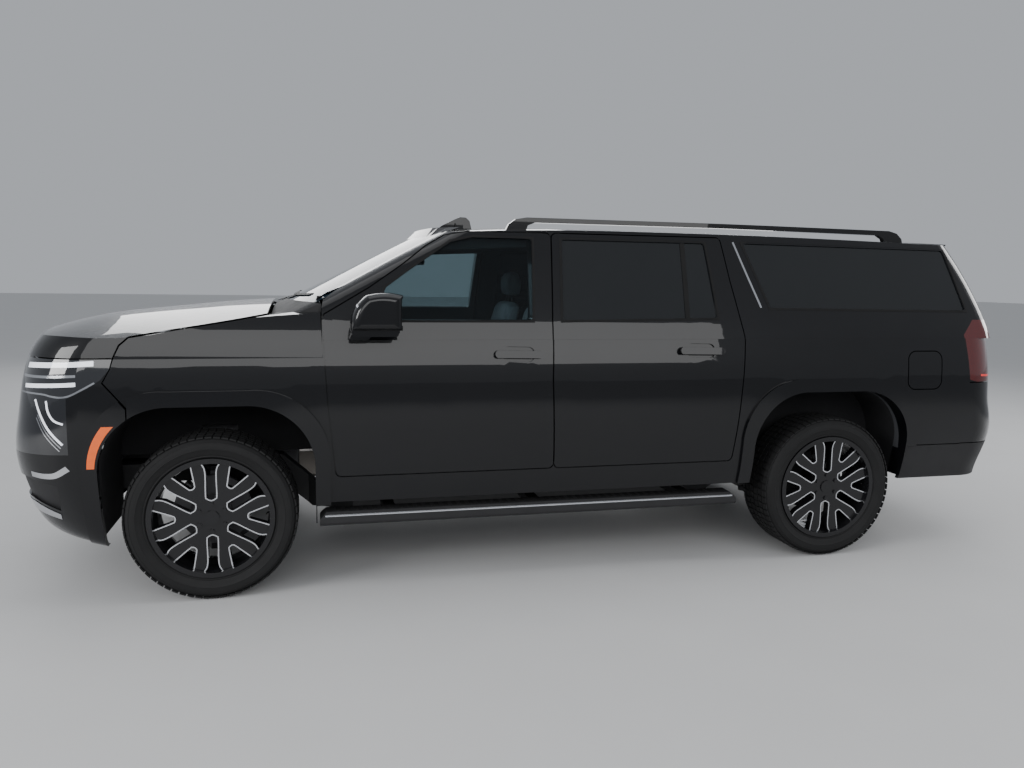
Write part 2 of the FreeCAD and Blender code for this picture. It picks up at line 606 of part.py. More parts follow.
# Wheels: six V spokes with open channels between them, a bare centre cap and six nuts
FACE_Y = -978.0
SPOKE_T = 42.0
HUB_R = 90.0
NUT_CIRCLE = 68.0
CHANNEL = [(90, -22), (230, -22), (296, -46), (296, 46), (230, 22), (90, 22)]
POCKET = [(174, -12), (296, -55), (296, 55), (174, 12)]
RIM_PROFILE = [
    (274, -998), (299, -998), (299, -982), (RIM_R, -981), (RIM_R, -757), (299, -756), (299, -740),
    (274, -740), (262, -800), (262, -900), (272, -960),
]


def wheel(xc):
    centre = V(xc, 0, TYRE_R)
    turn = V(0, 1, 0)
    ring = [V(xc + r, y, TYRE_R) for r, y in RIM_PROFILE]
    barrel = Part.Face(Part.makePolygon(ring + [ring[0]])).revolve(centre, turn, 360)
    face = rod(280, (xc, FACE_Y, TYRE_R), (xc, FACE_Y + SPOKE_T, TYRE_R))
    holes = []
    nuts = []
    for i in range(6):
        for outline, at, r in ((CHANNEL, 30.0, 18.0), (POCKET, 0.0, 10.0)):
            hole = prism([(xc + s, TYRE_R + t) for s, t in outline],
                         "y", FACE_Y - 20, FACE_Y + SPOKE_T + 20, r)
            hole.rotate(centre, turn, at + 60.0 * i)
            holes.append(hole)
        a = math.radians(30 + 60 * i)
        x, z = xc + NUT_CIRCLE * math.cos(a), TYRE_R + NUT_CIRCLE * math.sin(a)
        nuts.append(rod(11, (x, FACE_Y - 9, z), (x, FACE_Y + 8, z)))
    hub = rod(HUB_R - 6, (xc, FACE_Y + 6, TYRE_R), (xc, -HUB_FACE_Y, TYRE_R))
    cap = rod(36, (xc, FACE_Y - 7, TYRE_R), (xc, FACE_Y + 8, TYRE_R))
    return one([barrel, face.cut(holes), hub, cap] + nuts)


TYRE_SIDES = 56
BEAD_IN = 112.0


def tyre(xc):
    """Tyre without tread: a section carried round the axle as flat-sided rings."""
    half = TYRE_W / 2
    bore = (RIM_R + 0.2) / math.cos(math.pi / TYRE_SIDES)
    side = [(bore, BEAD_IN), (RIM_R + 11, BEAD_IN), (RIM_R + 28, half - 5), (TYRE_R - 62, half),
            (TYRE_R - 20, half - 9), (TYRE_R, half - 34)]
    section = [(r, -y) for r, y in side] + [(r, y) for r, y in reversed(side)]
    rings = []
    for i in range(TYRE_SIDES):
        a = 2 * math.pi * i / TYRE_SIDES - math.pi / 2
        rings.append([V(xc + r * math.cos(a), y - TRACK_HALF, TYRE_R + r * math.sin(a)) for r, y in section])
    faces = []
    for i, ring in enumerate(rings):
        nxt = rings[(i + 1) % TYRE_SIDES]
        for j in range(len(section)):
            k = (j + 1) % len(section)
            faces.append(Part.Face(Part.makePolygon([ring[j], ring[k], nxt[k], nxt[j], ring[j]])))
    solid = Part.Solid(Part.makeShell(faces))
    return solid if solid.Volume > 0 else solid.reversed()


for end, xc in (("front", FRONT_AXLE), ("rear", REAR_AXLE)):
    w = wheel(xc)
    t = tyre(xc)
    for side, turn in (("left", lambda s: s), ("right", mirrored)):
        save("wheel_" + end + "_" + side, turn(w))
        save("tyre_" + end + "_" + side, turn(t))

# Steering knuckles on the kingpin line, with the brake disc and hub
BRAKE_R = 175.0
ARM_DROP = BRAKE_R + 14.0


def knuckle(xc):
    flange = rod(80, (xc, -HUB_FACE_Y + REST, TYRE_R), (xc, -HUB_FACE_Y + 22, TYRE_R))
    disc = rod(BRAKE_R, (xc, -HUB_FACE_Y + 22, TYRE_R), (xc, -HUB_FACE_Y + 50, TYRE_R))
    carrier = rod(62, (xc, -HUB_FACE_Y + 50, TYRE_R), (xc, -740, TYRE_R))
    post = prism([(xc - 30, TYRE_R - ARM_DROP), (xc + 30, TYRE_R - ARM_DROP), (xc + 24, TYRE_R + 190),
                  (xc - 24, TYRE_R + 190)], "y", -784, -744)
    return one([flange, disc, carrier, post])


k = knuckle(FRONT_AXLE)
save("knuckle_left", k)
save("knuckle_right", mirrored(k))

# Front suspension: arms and struts end at the knuckle
arm_low = prism([
    (FRONT_AXLE - 190, -400), (FRONT_AXLE + 190, -400), (FRONT_AXLE + 150, -470),
    (FRONT_AXLE + 30, -780), (FRONT_AXLE - 30, -780), (FRONT_AXLE - 150, -470),
], "z", TYRE_R - ARM_DROP - 32, TYRE_R - ARM_DROP - REST)
arm_up = prism([
    (FRONT_AXLE - 160, -428), (FRONT_AXLE + 160, -428),
    (FRONT_AXLE + 26, -780), (FRONT_AXLE - 26, -780),
], "z", TYRE_R + 190 + REST, TYRE_R + 214)
strut = rod(34, (FRONT_AXLE, -560, TYRE_R - ARM_DROP - 10), (FRONT_AXLE, -520, 760))
tower = box(FRONT_AXLE - 60, FRONT_AXLE + 60, -560, -340, 560, 640)
front = one([arm_low, arm_up, strut, tower])
cradle = box(FRONT_AXLE - 60, FRONT_AXLE + 60, -430, 430, 195, 330)
posts = [box(FRONT_AXLE - 60, FRONT_AXLE + 60, y - 45, y + 45, 330, 470) for y in (-385, 385)]
save("front_suspension", one([front, mirrored(front), cradle] + posts).cut(one(frame)))

# Rear axle carrier, arms and half shafts
shaft = rod(26, (REAR_AXLE, -HUB_FACE_Y + REST, TYRE_R), (REAR_AXLE, -120, TYRE_R))
hub = rod(80, (REAR_AXLE, -HUB_FACE_Y + REST, TYRE_R), (REAR_AXLE, -HUB_FACE_Y + 25, TYRE_R))
disc = rod(175, (REAR_AXLE, -HUB_FACE_Y + 25, TYRE_R), (REAR_AXLE, -HUB_FACE_Y + 50, TYRE_R))
upright = box(REAR_AXLE - 60, REAR_AXLE + 60, -790, -740, TYRE_R - 120, TYRE_R + 120)
arm = prism([
    (REAR_AXLE - 260, -430), (REAR_AXLE + 200, -430), (REAR_AXLE + 50, -780), (REAR_AXLE - 50, -780),
], "z", TYRE_R - 150, TYRE_R - 118)
spring = rod(60, (REAR_AXLE, -460, TYRE_R - 130), (REAR_AXLE, -460, 480))
half_axle = one([shaft, hub, disc, upright, arm, spring])
diff = Part.makeSphere(150, V(REAR_AXLE, 0, TYRE_R))
rear_beam = box(REAR_AXLE - 200, REAR_AXLE - 120, -500, 500, 255, 330)
rear_beam2 = box(REAR_AXLE + 110, REAR_AXLE + 180, -500, 500, 255, 330)
save("rear_suspension", one([half_axle, mirrored(half_axle), diff, rear_beam, rear_beam2]).cut(one(frame)))

# Engine, tank, exhaust, spare wheel
save("engine", box(-2280, -1480, -260, 260, 480, 1180).fuse(
    box(-1900, -1800, -340, 340, 520, 580)).cut(one(frame)))
save("fuel_tank", box(-700, 550, -400, -120, 300, FLOOR_Z - 25).fuse([
    box(-600, -560, -420, -100, FLOOR_Z - 25, FLOOR_Z),
    box(400, 440, -420, -100, FLOOR_Z - 25, FLOOR_Z),
]).cut(one(frame)))
save("exhaust", one([
    rod(32, (-1480, 180, 350), (300, 180, 350)),
    box(300, 900, 90, 280, 290, 405),
    rod(32, (900, 180, 350), (1240, 180, 350)),
    box(-1480, -1380, 100, 260, 350, 500),
]).cut(one(frame)))
save("spare_wheel", rod(370, (2190, 0, 440), (2190, 0, 660)).fuse(
    rod(14, (2190, 0, 600), (2190, 0, REAR_FLOOR_Z))).cut(one(frame)))

# Running boards, roof rails
BOARD = [
    (-972, 338), (-980, 352), (-980, 392), (-966, 406), (-870, 406), (-850, 388), (-850, 350), (-880, 330),
]
board = prism(BOARD, "x", -1361, 950).common(prism(
    [(-1361, 300), (950, 300), (950, 372), (905, 420), (-1316, 420), (-1361, 372)], "y", -1000, -800, 20.0))
brackets = [box(x - 30, x + 30, -860, -520, 340, 385) for x in (-1000, -200, 700)]
save_pair("running_boards", one([board] + brackets).cut(one(frame)))
RAIL = [
    (-378, 1830), (-350, 1884), (-312, 1912), (-250, 1923), (900, 1923), (2010, 1912),
    (2064, 1898), (2100, 1866), (2112, 1820), (1992, 1820), (1972, 1864), (1936, 1884),
    (900, 1896), (-205, 1896), (-244, 1880), (-262, 1830),
]
rail = prism(RAIL, "y", -748, -714).cut(mass("up", 0.0))
save_pair("roof_rails", rail.cut(prism([(-752, 1916), (-738, 1930), (-752, 1930)], "x", -500, 2200)))

# Mirrors: a housing that narrows outwards, with a flat glass bay at its rear, on a flat foot
MIRROR_C = (-1078.0, 1424.0)
MIRROR_ROWS = [
    (-1036, 0.80), (-1075, 0.97), (-1130, 1.00), (-1172, 0.90), (-1190, 0.62),
]


def mirror_ring(y, k):
    cx, cz = MIRROR_C
    x0, x1, z0, z1 = cx - 128 * k, cx + 122 * k, cz - 88 * k, cz + 94 * k
    return Part.Wire([
        Part.Arc(V(x0, y, z0), V(x0 + 22 * k, y, cz + 22 * k), V(cx - 52 * k, y, z1 - 12 * k)).toShape(),
        Part.Arc(V(cx - 52 * k, y, z1 - 12 * k), V(cx + 30 * k, y, z1), V(x1, y, z1 - 12 * k)).toShape(),
        Part.LineSegment(V(x1, y, z1 - 12 * k), V(x1, y, z0)).toShape(),
        Part.LineSegment(V(x1, y, z0), V(x0, y, z0)).toShape(),
    ])


housing = Part.makeLoft([mirror_ring(y, k) for y, k in MIRROR_ROWS], True, False)
glass_bay = box(MIRROR_C[0] + 90, -800, -1168, -1052, MIRROR_C[1] - 66, MIRROR_C[1] + 66)
skirt = prism([(-1196, 1308), (-985, 1308), (-966, 1345), (-1206, 1345)], "y", -1150, -1050, 12.0)
arm = prism([
    (-1212, 1286), (-1118, 1286), (-1086, 1330), (-1100, 1352), (-1180, 1352),
], "y", -1070, -900, 8.0)
mirror = one([housing.cut(glass_bay), skirt, arm]).cut([mass("up", 0.0), mass("low", 0.0)])
save("mirror_left", mirror)
save("mirror_right", mirrored(mirror))

# Cabin
def seat(x, y, w, z, back):
    base = box(x - 30, x + 440, y - w / 2 + 40, y + w / 2 - 40, z, z + 160)
    cushion = box(x - 60, x + 480, y - w / 2, y + w / 2, z + 160, z + 330)
    rest = prism([(x + 420, z + 330), (x + 540, z + 330), (x + 680, z + back), (x + 590, z + back)], "y",
                 y - w / 2 + 10, y + w / 2 - 10)
    head = box(x + 590, x + 700, y - 130, y + 130, z + back, z + back + 190)
    return one([base, cushion, rest, head])


top = FLOOR_Z + FLOOR_T
save("front_seats", Part.makeCompound([seat(-700, y, 540, top, 880) for y in (-430, 430)]))
save("middle_seats", Part.makeCompound([seat(180, y, 540, top, 860) for y in (-430, 430)]))
third = one([box(1220, 1660, -590, 590, REAR_FLOOR_Z + FLOOR_T, REAR_FLOOR_Z + 300),
             prism([(1620, 1000), (1740, 1000), (1860, 1520), (1780, 1520)], "y", -590, 590)])
save("third_row", third)
DASH = [(FIREWALL_X, 900), (-1060, 900), (-1000, 1080), (-1010, 1290), (-1100, 1340), (FIREWALL_X, 1370)]
dash = prism(DASH, "y", -840, 840)
console = box(-1100, -350, -130, 130, top, top + 330)
WHEEL_C = (-830.0, -430.0, 1180.0)
TILT = 25.0
ring = Part.makeTorus(190, 16, V(0, 0, 0), V(0, 0, 1))
hubcap = Part.makeCylinder(60, 40, V(0, 0, -30))
spokes = [box(-190, 190, -18, 18, -18, 0)]
column = Part.makeCylinder(26, 110, V(0, 0, -140))
steer = one([ring, hubcap, column] + spokes)
steer.rotate(V(0, 0, 0), V(0, 1, 0), 90 - TILT)
steer.translate(V(*WHEEL_C))
shroud = Part.makeCylinder(44, 160, V(0, 0, -300 - REST))
shroud.rotate(V(0, 0, 0), V(0, 1, 0), 90 - TILT)
shroud.translate(V(*WHEEL_C))
save("dashboard", one([dash, console, shroud]))
save("steering_wheel", steer)
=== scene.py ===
"""Dresses the full-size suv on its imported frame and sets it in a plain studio."""

import logging
import math
from dataclasses import dataclass, field
from enum import Enum
from typing import Any, Callable, Optional, Sequence, Union

import bmesh
import bpy
from mathutils import Matrix, Vector
from mathutils.bvhtree import BVHTree


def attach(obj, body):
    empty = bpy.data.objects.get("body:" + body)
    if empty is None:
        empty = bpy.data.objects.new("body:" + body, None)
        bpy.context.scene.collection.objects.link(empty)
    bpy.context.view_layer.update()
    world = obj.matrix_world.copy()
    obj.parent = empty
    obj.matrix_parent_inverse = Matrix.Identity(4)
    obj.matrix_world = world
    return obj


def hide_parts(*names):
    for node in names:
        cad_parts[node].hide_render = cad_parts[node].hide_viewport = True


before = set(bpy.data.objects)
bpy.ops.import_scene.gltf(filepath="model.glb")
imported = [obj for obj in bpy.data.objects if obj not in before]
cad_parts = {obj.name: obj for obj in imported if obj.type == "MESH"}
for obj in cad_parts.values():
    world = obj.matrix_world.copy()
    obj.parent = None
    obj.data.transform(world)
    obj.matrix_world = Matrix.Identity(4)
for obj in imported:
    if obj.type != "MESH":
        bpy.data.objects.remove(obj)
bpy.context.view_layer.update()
NODES: dict[str, bpy.types.Object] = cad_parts
LOG = logging.getLogger("suv")

Number = Union[int, float]
Colour = tuple[float, float, float]
Point = tuple[float, float, float]
Flat = tuple[float, float]
Ring = list[bmesh.types.BMVert]

TURN = 2 * math.pi
SHARP_ANGLE = math.radians(38)
RAY_START = 0.6
RAY_REACH = 3.6
SIDE_PLANE = -0.95
ROOF_PLANE = 1.75
END_PLANE = 2.6
BUTTON_SIDES = 20
CLOTH_PRESSURE = 4.0
CLOTH_QUALITY = 3
CLOTH_FRAMES = 20
BLOCK_RINGS = 9


class Val:
    """A shader value that takes part in plain arithmetic."""

    def __init__(self, graph: "Graph", socket: bpy.types.NodeSocket) -> None:
        """Keeps the socket and the graph it belongs to.

        Args:
            graph: The material's graph.
            socket: The output socket that carries the value.
        """
        self.graph = graph
        self.socket = socket

    def _math(self, operation: str, *values: Union["Val", Number]) -> "Val":
        """Adds one Math node.

        Args:
            operation: The Math node's operation.
            values: Its inputs in order.

        Returns:
            The node's result.
        """
        node = self.graph.node("ShaderNodeMath", {"operation": operation}, dict(enumerate(values)))
        return Val(self.graph, node.outputs[0])

    def __add__(self, other: Union["Val", Number]) -> "Val":
        """Sum.

        Args:
            other: The other value.

        Returns:
            The result.
        """
        return self._math("ADD", self, other)

    __radd__ = __add__

    def __sub__(self, other: Union["Val", Number]) -> "Val":
        """Difference.

        Args:
            other: The other value.

        Returns:
            The result.
        """
        return self._math("SUBTRACT", self, other)

    def __rsub__(self, other: Union["Val", Number]) -> "Val":
        """Difference with the number first.

        Args:
            other: The number.

        Returns:
            The result.
        """
        return self._math("SUBTRACT", other, self)

    def __mul__(self, other: Union["Val", Number]) -> "Val":
        """Product.

        Args:
            other: The other value.

        Returns:
            The result.
        """
        return self._math("MULTIPLY", self, other)

    __rmul__ = __mul__

    def __truediv__(self, other: Union["Val", Number]) -> "Val":
        """Quotient.

        Args:
            other: The other value.

        Returns:
            The result.
        """
        return self._math("DIVIDE", self, other)

    def __rtruediv__(self, other: Union["Val", Number]) -> "Val":
        """Quotient with the number first.

        Args:
            other: The number.

        Returns:
            The result.
        """
        return self._math("DIVIDE", other, self)

    def __abs__(self) -> "Val":
        """Size without sign.

        Returns:
            The result.
        """
        return self._math("ABSOLUTE", self)

    def over(self, level: Union["Val", Number]) -> "Val":
        """One where the value is above a level.

        Args:
            level: The level.

        Returns:
            One or zero.
        """
        return self._math("GREATER_THAN", self, level)

    def lower(self, other: Union["Val", Number]) -> "Val":
        """The smaller of two values.

        Args:
            other: The other value.

        Returns:
            The smaller one.
        """
        return self._math("MINIMUM", self, other)

    def ramp(self, low: float, high: float) -> "Val":
        """Rises smoothly from 0 at the low value to 1 at the high one.

        Args:
            low: The value that gives 0.
            high: The value that gives 1.

        Returns:
            The eased value.
        """
        node = self.graph.node(
            "ShaderNodeMapRange",
            {"interpolation_type": "SMOOTHSTEP"},
            {"Value": self, "From Min": low, "From Max": high},
        )
        return Val(self.graph, node.outputs["Result"])


class Nodes:
    """A node tree that grows by calls."""

    tree: bpy.types.NodeTree

    def node(self, kind: str, settings: Optional[dict[str, Any]] = None,
             inputs: Optional[dict[Union[str, int], Any]] = None) -> bpy.types.Node:
        """Adds a node, sets it up and feeds it.

        Args:
            kind: The node's type.
            settings: Its own settings, set before the sockets.
            inputs: Values or links by socket name or number.

        Returns:
            The node.
        """
        made = self.tree.nodes.new(kind)
        for key, value in (settings or {}).items():
            setattr(made, key, value)
        for key, value in (inputs or {}).items():
            socket = made.inputs[key]
            source = value.socket if isinstance(value, Val) else value
            if isinstance(source, bpy.types.NodeSocket):
                self.tree.links.new(source, socket)
            elif isinstance(source, tuple) and len(source) == 3 and socket.type == "RGBA":
                socket.default_value = (*source, 1.0)
            else:
                socket.default_value = source
        return made


class Graph(Nodes):
    """The node graph of one material."""

    def __init__(self, name: str) -> None:
        """Makes an empty material.

        Args:
            name: The finish's name.
        """
        self.material = bpy.data.materials.new(name)
        self.material.use_nodes = True
        self.tree = self.material.node_tree
        self.tree.nodes.clear()
        self.place: Optional[bpy.types.NodeSocket] = None

    def spot(self) -> bpy.types.NodeSocket:
        """The point on the piece, in metres.

        Returns:
            The socket that carries it.
        """
        if self.place is None:
            self.place = self.node("ShaderNodeTexCoord").outputs["Object"]
        return self.place

    def axes(self) -> tuple[Val, Val, Val]:
        """The point's three coordinates.

        Returns:
            Its x, y and z.
        """
        split = self.node("ShaderNodeSeparateXYZ", None, {0: self.spot()})
        return tuple(Val(self, s) for s in split.outputs)

    def noise(self, scale: float, detail: float = 3.0, rough: float = 0.5) -> Val:
        """Soft random variation.

        Args:
            scale: Spots to the metre.
            detail: Finer layers.
            rough: Strength of the finer layers.

        Returns:
            A value round 0.5.
        """
        made = self.node("ShaderNodeTexNoise", None, {
            "Vector": self.spot(), "Scale": scale, "Detail": detail, "Roughness": rough})
        return Val(self, made.outputs["Fac"])

    def cells(self, scale: float) -> Val:
        """Distance to the nearest cell centre.

        Args:
            scale: Cells to the metre.

        Returns:
            The distance.
        """
        made = self.node("ShaderNodeTexVoronoi", None, {"Vector": self.spot(), "Scale": scale})
        return Val(self, made.outputs["Distance"])

    def blend(self, share: Union[Val, Number], first: Any, second: Any) -> bpy.types.NodeSocket:
        """Mixes two colours.

        Args:
            share: How much of the second.
            first: Colour or socket.
            second: Colour or socket.

        Returns:
            The colour socket.
        """
        made = self.node("ShaderNodeMix", {"data_type": "RGBA"})
        for index, value in ((0, share), (6, first), (7, second)):
            socket = made.inputs[index]
            source = value.socket if isinstance(value, Val) else value
            if isinstance(source, bpy.types.NodeSocket):
                self.tree.links.new(source, socket)
            else:
                socket.default_value = (*source, 1.0) if isinstance(source, tuple) else source
        return made.outputs[2]

    def relief(self, height: Val, depth: float, strength: float = 1.0) -> bpy.types.NodeSocket:
        """Turns a height into a surface normal.

        Args:
            height: The height from 0 to 1.
            depth: Its depth in metres.
            strength: How much of it shows.

        Returns:
            The normal socket.
        """
        return self.node("ShaderNodeBump", None, {
            "Height": height, "Distance": depth, "Strength": strength}).outputs["Normal"]

    def surface(self, **sockets: Any) -> bpy.types.NodeSocket:
        """Adds the principled shader; underscores in names stand for spaces.

        Args:
            sockets: Values or links by socket name.

        Returns:
            The shader's output socket.
        """
        return self.node("ShaderNodeBsdfPrincipled", None, {
            k.replace("_", " "): v for k, v in sockets.items()}).outputs[0]

    def close(self, shader: bpy.types.NodeSocket) -> bpy.types.Material:
        """Ends the graph at the material's output.

        Args:
            shader: The finished surface.

        Returns:
            The material.
        """
        self.node("ShaderNodeOutputMaterial", None, {0: shader})
        return self.material


@dataclass(frozen=True)
class Paint:
    """Gloss coat over a base colour, with a trace of orange peel and dust."""

    name: str
    colour: Colour
    rough: float = 0.32
    coat: float = 1.0
    peel: float = 0.00002
    lining: Optional[Colour] = None

    def inside(self, g: Graph) -> Val:
        """One on the cabin's side of the doors, walls and roof, and zero outside.

        Args:
            g: The material's graph.

        Returns:
            The mask.
        """
        x, y, z = g.axes()
        side = z.ramp(1.26, 1.30) * (1.28 - z) * 0.46 + 0.945
        under = (side - abs(y)).over(0.0) * (1.845 - z).over(0.0)
        return under * (x + 1.32).over(0.0) * (2.32 - x).over(0.0) * (z - 0.62).over(0.0)

    def make(self) -> bpy.types.Material:
        """The finished material.

        Returns:
            The material.
        """
        g = Graph(self.name)
        _, _, z = g.axes()
        dust = g.noise(3.0, 5.0) * (1 - z.ramp(0.2, 0.9))
        lifted = tuple(c * 1.6 + 0.006 for c in self.colour)
        base = g.blend(dust * 0.5, self.colour, lifted)
        rough = g.noise(6.0) * 0.1 + (self.rough - 0.05) + dust * 0.1
        coat_share: Union[Val, float] = self.coat
        if self.lining is not None:
            inner = self.inside(g)
            base = g.blend(inner, base, self.lining)
            rough = rough + inner * 0.4
            coat_share = (1 - inner) * self.coat
        return g.close(g.surface(
            Base_Color=base, Roughness=rough, Specular_IOR_Level=0.08,
            Coat_Weight=coat_share, Coat_Roughness=0.015, Coat_IOR=1.4,
            Normal=g.relief(g.noise(420.0, 2.0), self.peel)))


@dataclass(frozen=True)
class Grained:
    """Moulded plastic or rubber with a fine grain."""

    name: str
    colour: Colour
    rough: float = 0.55
    grain: float = 900.0
    depth: float = 0.00012

    def make(self) -> bpy.types.Material:
        """The finished material.

        Returns:
            The material.
        """
        g = Graph(self.name)
        lighter = tuple(c * 1.5 + 0.001 for c in self.colour)
        pits = g.cells(self.grain)
        return g.close(g.surface(
            Base_Color=g.blend(g.noise(9.0, 4.0), self.colour, lighter),
            Specular_IOR_Level=0.3,
            Roughness=g.noise(14.0, 4.0) * 0.16 + (self.rough - 0.08),
            Normal=g.relief(pits, self.depth)))


@dataclass(frozen=True)
class Metal:
    """Bare, cast or bright metal."""

    name: str
    colour: Colour
    rough: float = 0.3
    lay: float = 60.0
    depth: float = 0.00003

    def make(self) -> bpy.types.Material:
        """The finished material.

        Returns:
            The material.
        """
        g = Graph(self.name)
        darker = tuple(c * 0.72 for c in self.colour)
        stain = g.noise(7.0, 5.0)
        return g.close(g.surface(
            Base_Color=g.blend(stain, self.colour, darker), Metallic=1.0,
            Roughness=stain * 0.14 + (self.rough - 0.05),
            Normal=g.relief(g.noise(self.lay * 10, 3.0), self.depth)))


@dataclass(frozen=True)
class Pane:
    """Window glass: a tinted view through and a fresnel shine."""

    name: str
    tint: Colour
    veil: float
    body: Colour = (0.01, 0.012, 0.014)

    def make(self) -> bpy.types.Material:
        """The finished material.

        Returns:
            The material.
        """
        g = Graph(self.name)
        clear = g.node("ShaderNodeBsdfTransparent", None, {0: self.tint}).outputs[0]
        shine = g.surface(Base_Color=self.body, Roughness=0.03, Coat_Weight=1.0, Coat_Roughness=0.01)
        edge = Val(g, g.node("ShaderNodeLayerWeight", None, {"Blend": 0.18}).outputs["Fresnel"])
        smear = g.noise(4.0, 3.0) * 0.04
        mixed = g.node("ShaderNodeMixShader", None, {
            0: (edge + (self.veil + smear)).lower(1.0), 1: clear, 2: shine})
        return g.close(mixed.outputs[0])


@dataclass(frozen=True)
class Lens:
    """Lamp cover or lit strip."""

    name: str
    colour: Colour
    glow: float = 0.0
    rough: float = 0.06

    def make(self) -> bpy.types.Material:
        """The finished material.

        Returns:
            The material.
        """
        g = Graph(self.name)
        flute = g.noise(30.0, 2.0)
        darker = tuple(c * 0.8 for c in self.colour)
        return g.close(g.surface(
            Base_Color=g.blend(flute, self.colour, darker), Roughness=flute * 0.04 + self.rough,
            Coat_Weight=1.0, Coat_Roughness=0.02,
            Emission_Color=self.colour, Emission_Strength=self.glow))


@dataclass(frozen=True)
class Hide:
    """Seat leather with a pebble grain and soft creases."""

    name: str
    colour: Colour
    rough: float = 0.5

    def make(self) -> bpy.types.Material:
        """The finished material.

        Returns:
            The material.
        """
        g = Graph(self.name)
        pebble = g.cells(520.0)
        crease = g.noise(26.0, 6.0, 0.7)
        worn = tuple(c * 0.8 for c in self.colour)
        return g.close(g.surface(
            Base_Color=g.blend(crease.ramp(0.35, 0.7), self.colour, worn),
            Roughness=crease * 0.2 + (self.rough - 0.1),
            Sheen_Weight=0.15, Normal=g.relief(pebble * 0.6 + crease * 0.7, 0.0005)))


class Finish(Enum):
    """Every finish on the vehicle."""

    PAINT = Paint("black_paint", (0.0035, 0.0037, 0.0047), lining=(0.055, 0.057, 0.062))
    GLOSS = Paint("gloss_black_trim", (0.006, 0.006, 0.0065), rough=0.2, peel=0.00001)
    PLASTIC = Grained("black_grained_plastic", (0.014, 0.014, 0.015))
    LINER = Grained("arch_liner_felt", (0.01, 0.01, 0.011), rough=0.85, grain=300.0, depth=0.0006)
    RUBBER = Grained("tyre_rubber", (0.007, 0.007, 0.0073), rough=0.72, grain=700.0, depth=0.0002)
    CHASSIS = Grained("chassis_coat", (0.016, 0.016, 0.017), rough=0.45, grain=200.0, depth=0.0002)
    CABIN = Grained("cabin_trim", (0.02, 0.021, 0.024), rough=0.6)
    LEATHER = Hide("seat_leather", (0.46, 0.46, 0.48))
    CLEAR_GLASS = Pane("clear_glass", (0.72, 0.80, 0.82), 0.12)
    FRONT_GLASS = Pane("windshield_glass", (0.62, 0.74, 0.80), 0.22, (0.05, 0.08, 0.11))
    DARK_GLASS = Pane("privacy_glass", (0.10, 0.105, 0.12), 0.55)
    WHEEL = Paint("gloss_black_wheel", (0.006, 0.006, 0.007), rough=0.25)
    TURNED = Metal("turned_metal", (0.78, 0.79, 0.82), rough=0.22)
    CHROME = Metal("bright_metal", (0.72, 0.73, 0.76), rough=0.1, depth=0.000005)
    CAST = Metal("cast_metal", (0.20, 0.20, 0.21), rough=0.55, depth=0.0003)
    STEEL = Metal("exhaust_steel", (0.38, 0.35, 0.32), rough=0.4)
    STRIP = Lens("white_light_strip", (0.9, 0.93, 1.0), glow=0.6)
    RED = Lens("red_lens", (0.075, 0.002, 0.002))
    AMBER = Lens("amber_lens", (0.9, 0.13, 0.0), glow=0.1)
    SMOKED = Lens("smoked_lens", (0.009, 0.010, 0.013), rough=0.04)
    RED_LIT = Lens("red_light_strip", (0.75, 0.02, 0.015), glow=0.35)
    SEAL = Grained("window_seal_rubber", (0.003, 0.003, 0.0032), rough=0.8, grain=600.0, depth=0.0001)
    SCREEN = Paint("dark_screen_glass", (0.004, 0.005, 0.007), rough=0.08, peel=0.000002)
    MIRROR = Metal("mirror_glass", (0.86, 0.88, 0.90), rough=0.06, depth=0.0000005)
    WEBBING = Grained("belt_webbing", (0.03, 0.03, 0.034), rough=0.8, grain=700.0, depth=0.0003)


MADE: dict[Finish, bpy.types.Material] = {}


def coat(finish: Finish) -> bpy.types.Material:
    """The material of a finish, made once.

    Args:
        finish: Which finish.

    Returns:
        Its material.
    """
    if finish not in MADE:
        MADE[finish] = finish.value.make()
    return MADE[finish]


def dress_node(name: str, finish: Finish) -> None:
    """Gives a CAD node its finish.

    Args:
        name: The node.
        finish: The finish it gets.
    """
    mesh = NODES[name].data
    mesh.materials.clear()
    mesh.materials.append(coat(finish))


class Aim(Enum):
    """The way in which a strip is pressed on the skin."""

    SIDE = (0.0, 1.0, 0.0)
    NOSE = (1.0, 0.0, 0.0)
    TAIL = (-1.0, 0.0, 0.0)
    TOP = (0.0, 0.0, -1.0)
    FRONT_CORNER = (-1.9, -0.2, 0.0)
    REAR_CORNER = (1.9, -0.2, 0.0)


def way(aim: Aim, point: Vector) -> Vector:
    """The unit direction from a point to the skin.

    Args:
        aim: How the strip is pressed on.
        point: Where it starts.

    Returns:
        The direction.
    """
    if aim in (Aim.FRONT_CORNER, Aim.REAR_CORNER):
        return Vector((aim.value[0] - point.x, aim.value[1] - point.y, 0.0)).normalized()
    return Vector(aim.value)


class Skin:
    """The surface of some CAD nodes, felt by rays."""

    def __init__(self, *names: str) -> None:
        """Gathers the nodes' triangles.

        Args:
            names: The nodes.
        """
        corners: list[Vector] = []
        faces: list[list[int]] = []
        for name in names:
            mesh = NODES[name].data
            base = len(corners)
            corners.extend(v.co.copy() for v in mesh.vertices)
            faces.extend([base + i for i in p.vertices] for p in mesh.polygons)
        self.tree = BVHTree.FromPolygons(corners, faces)

    def touch(self, point: Vector, direction: Vector) -> Optional[Vector]:
        """Where a line through the point first meets the skin.

        Args:
            point: A point near the skin.
            direction: The way the line runs.

        Returns:
            The point on the skin, or None.
        """
        hit, _, _, _ = self.tree.ray_cast(point - direction * RAY_START, direction, RAY_REACH)
        return hit


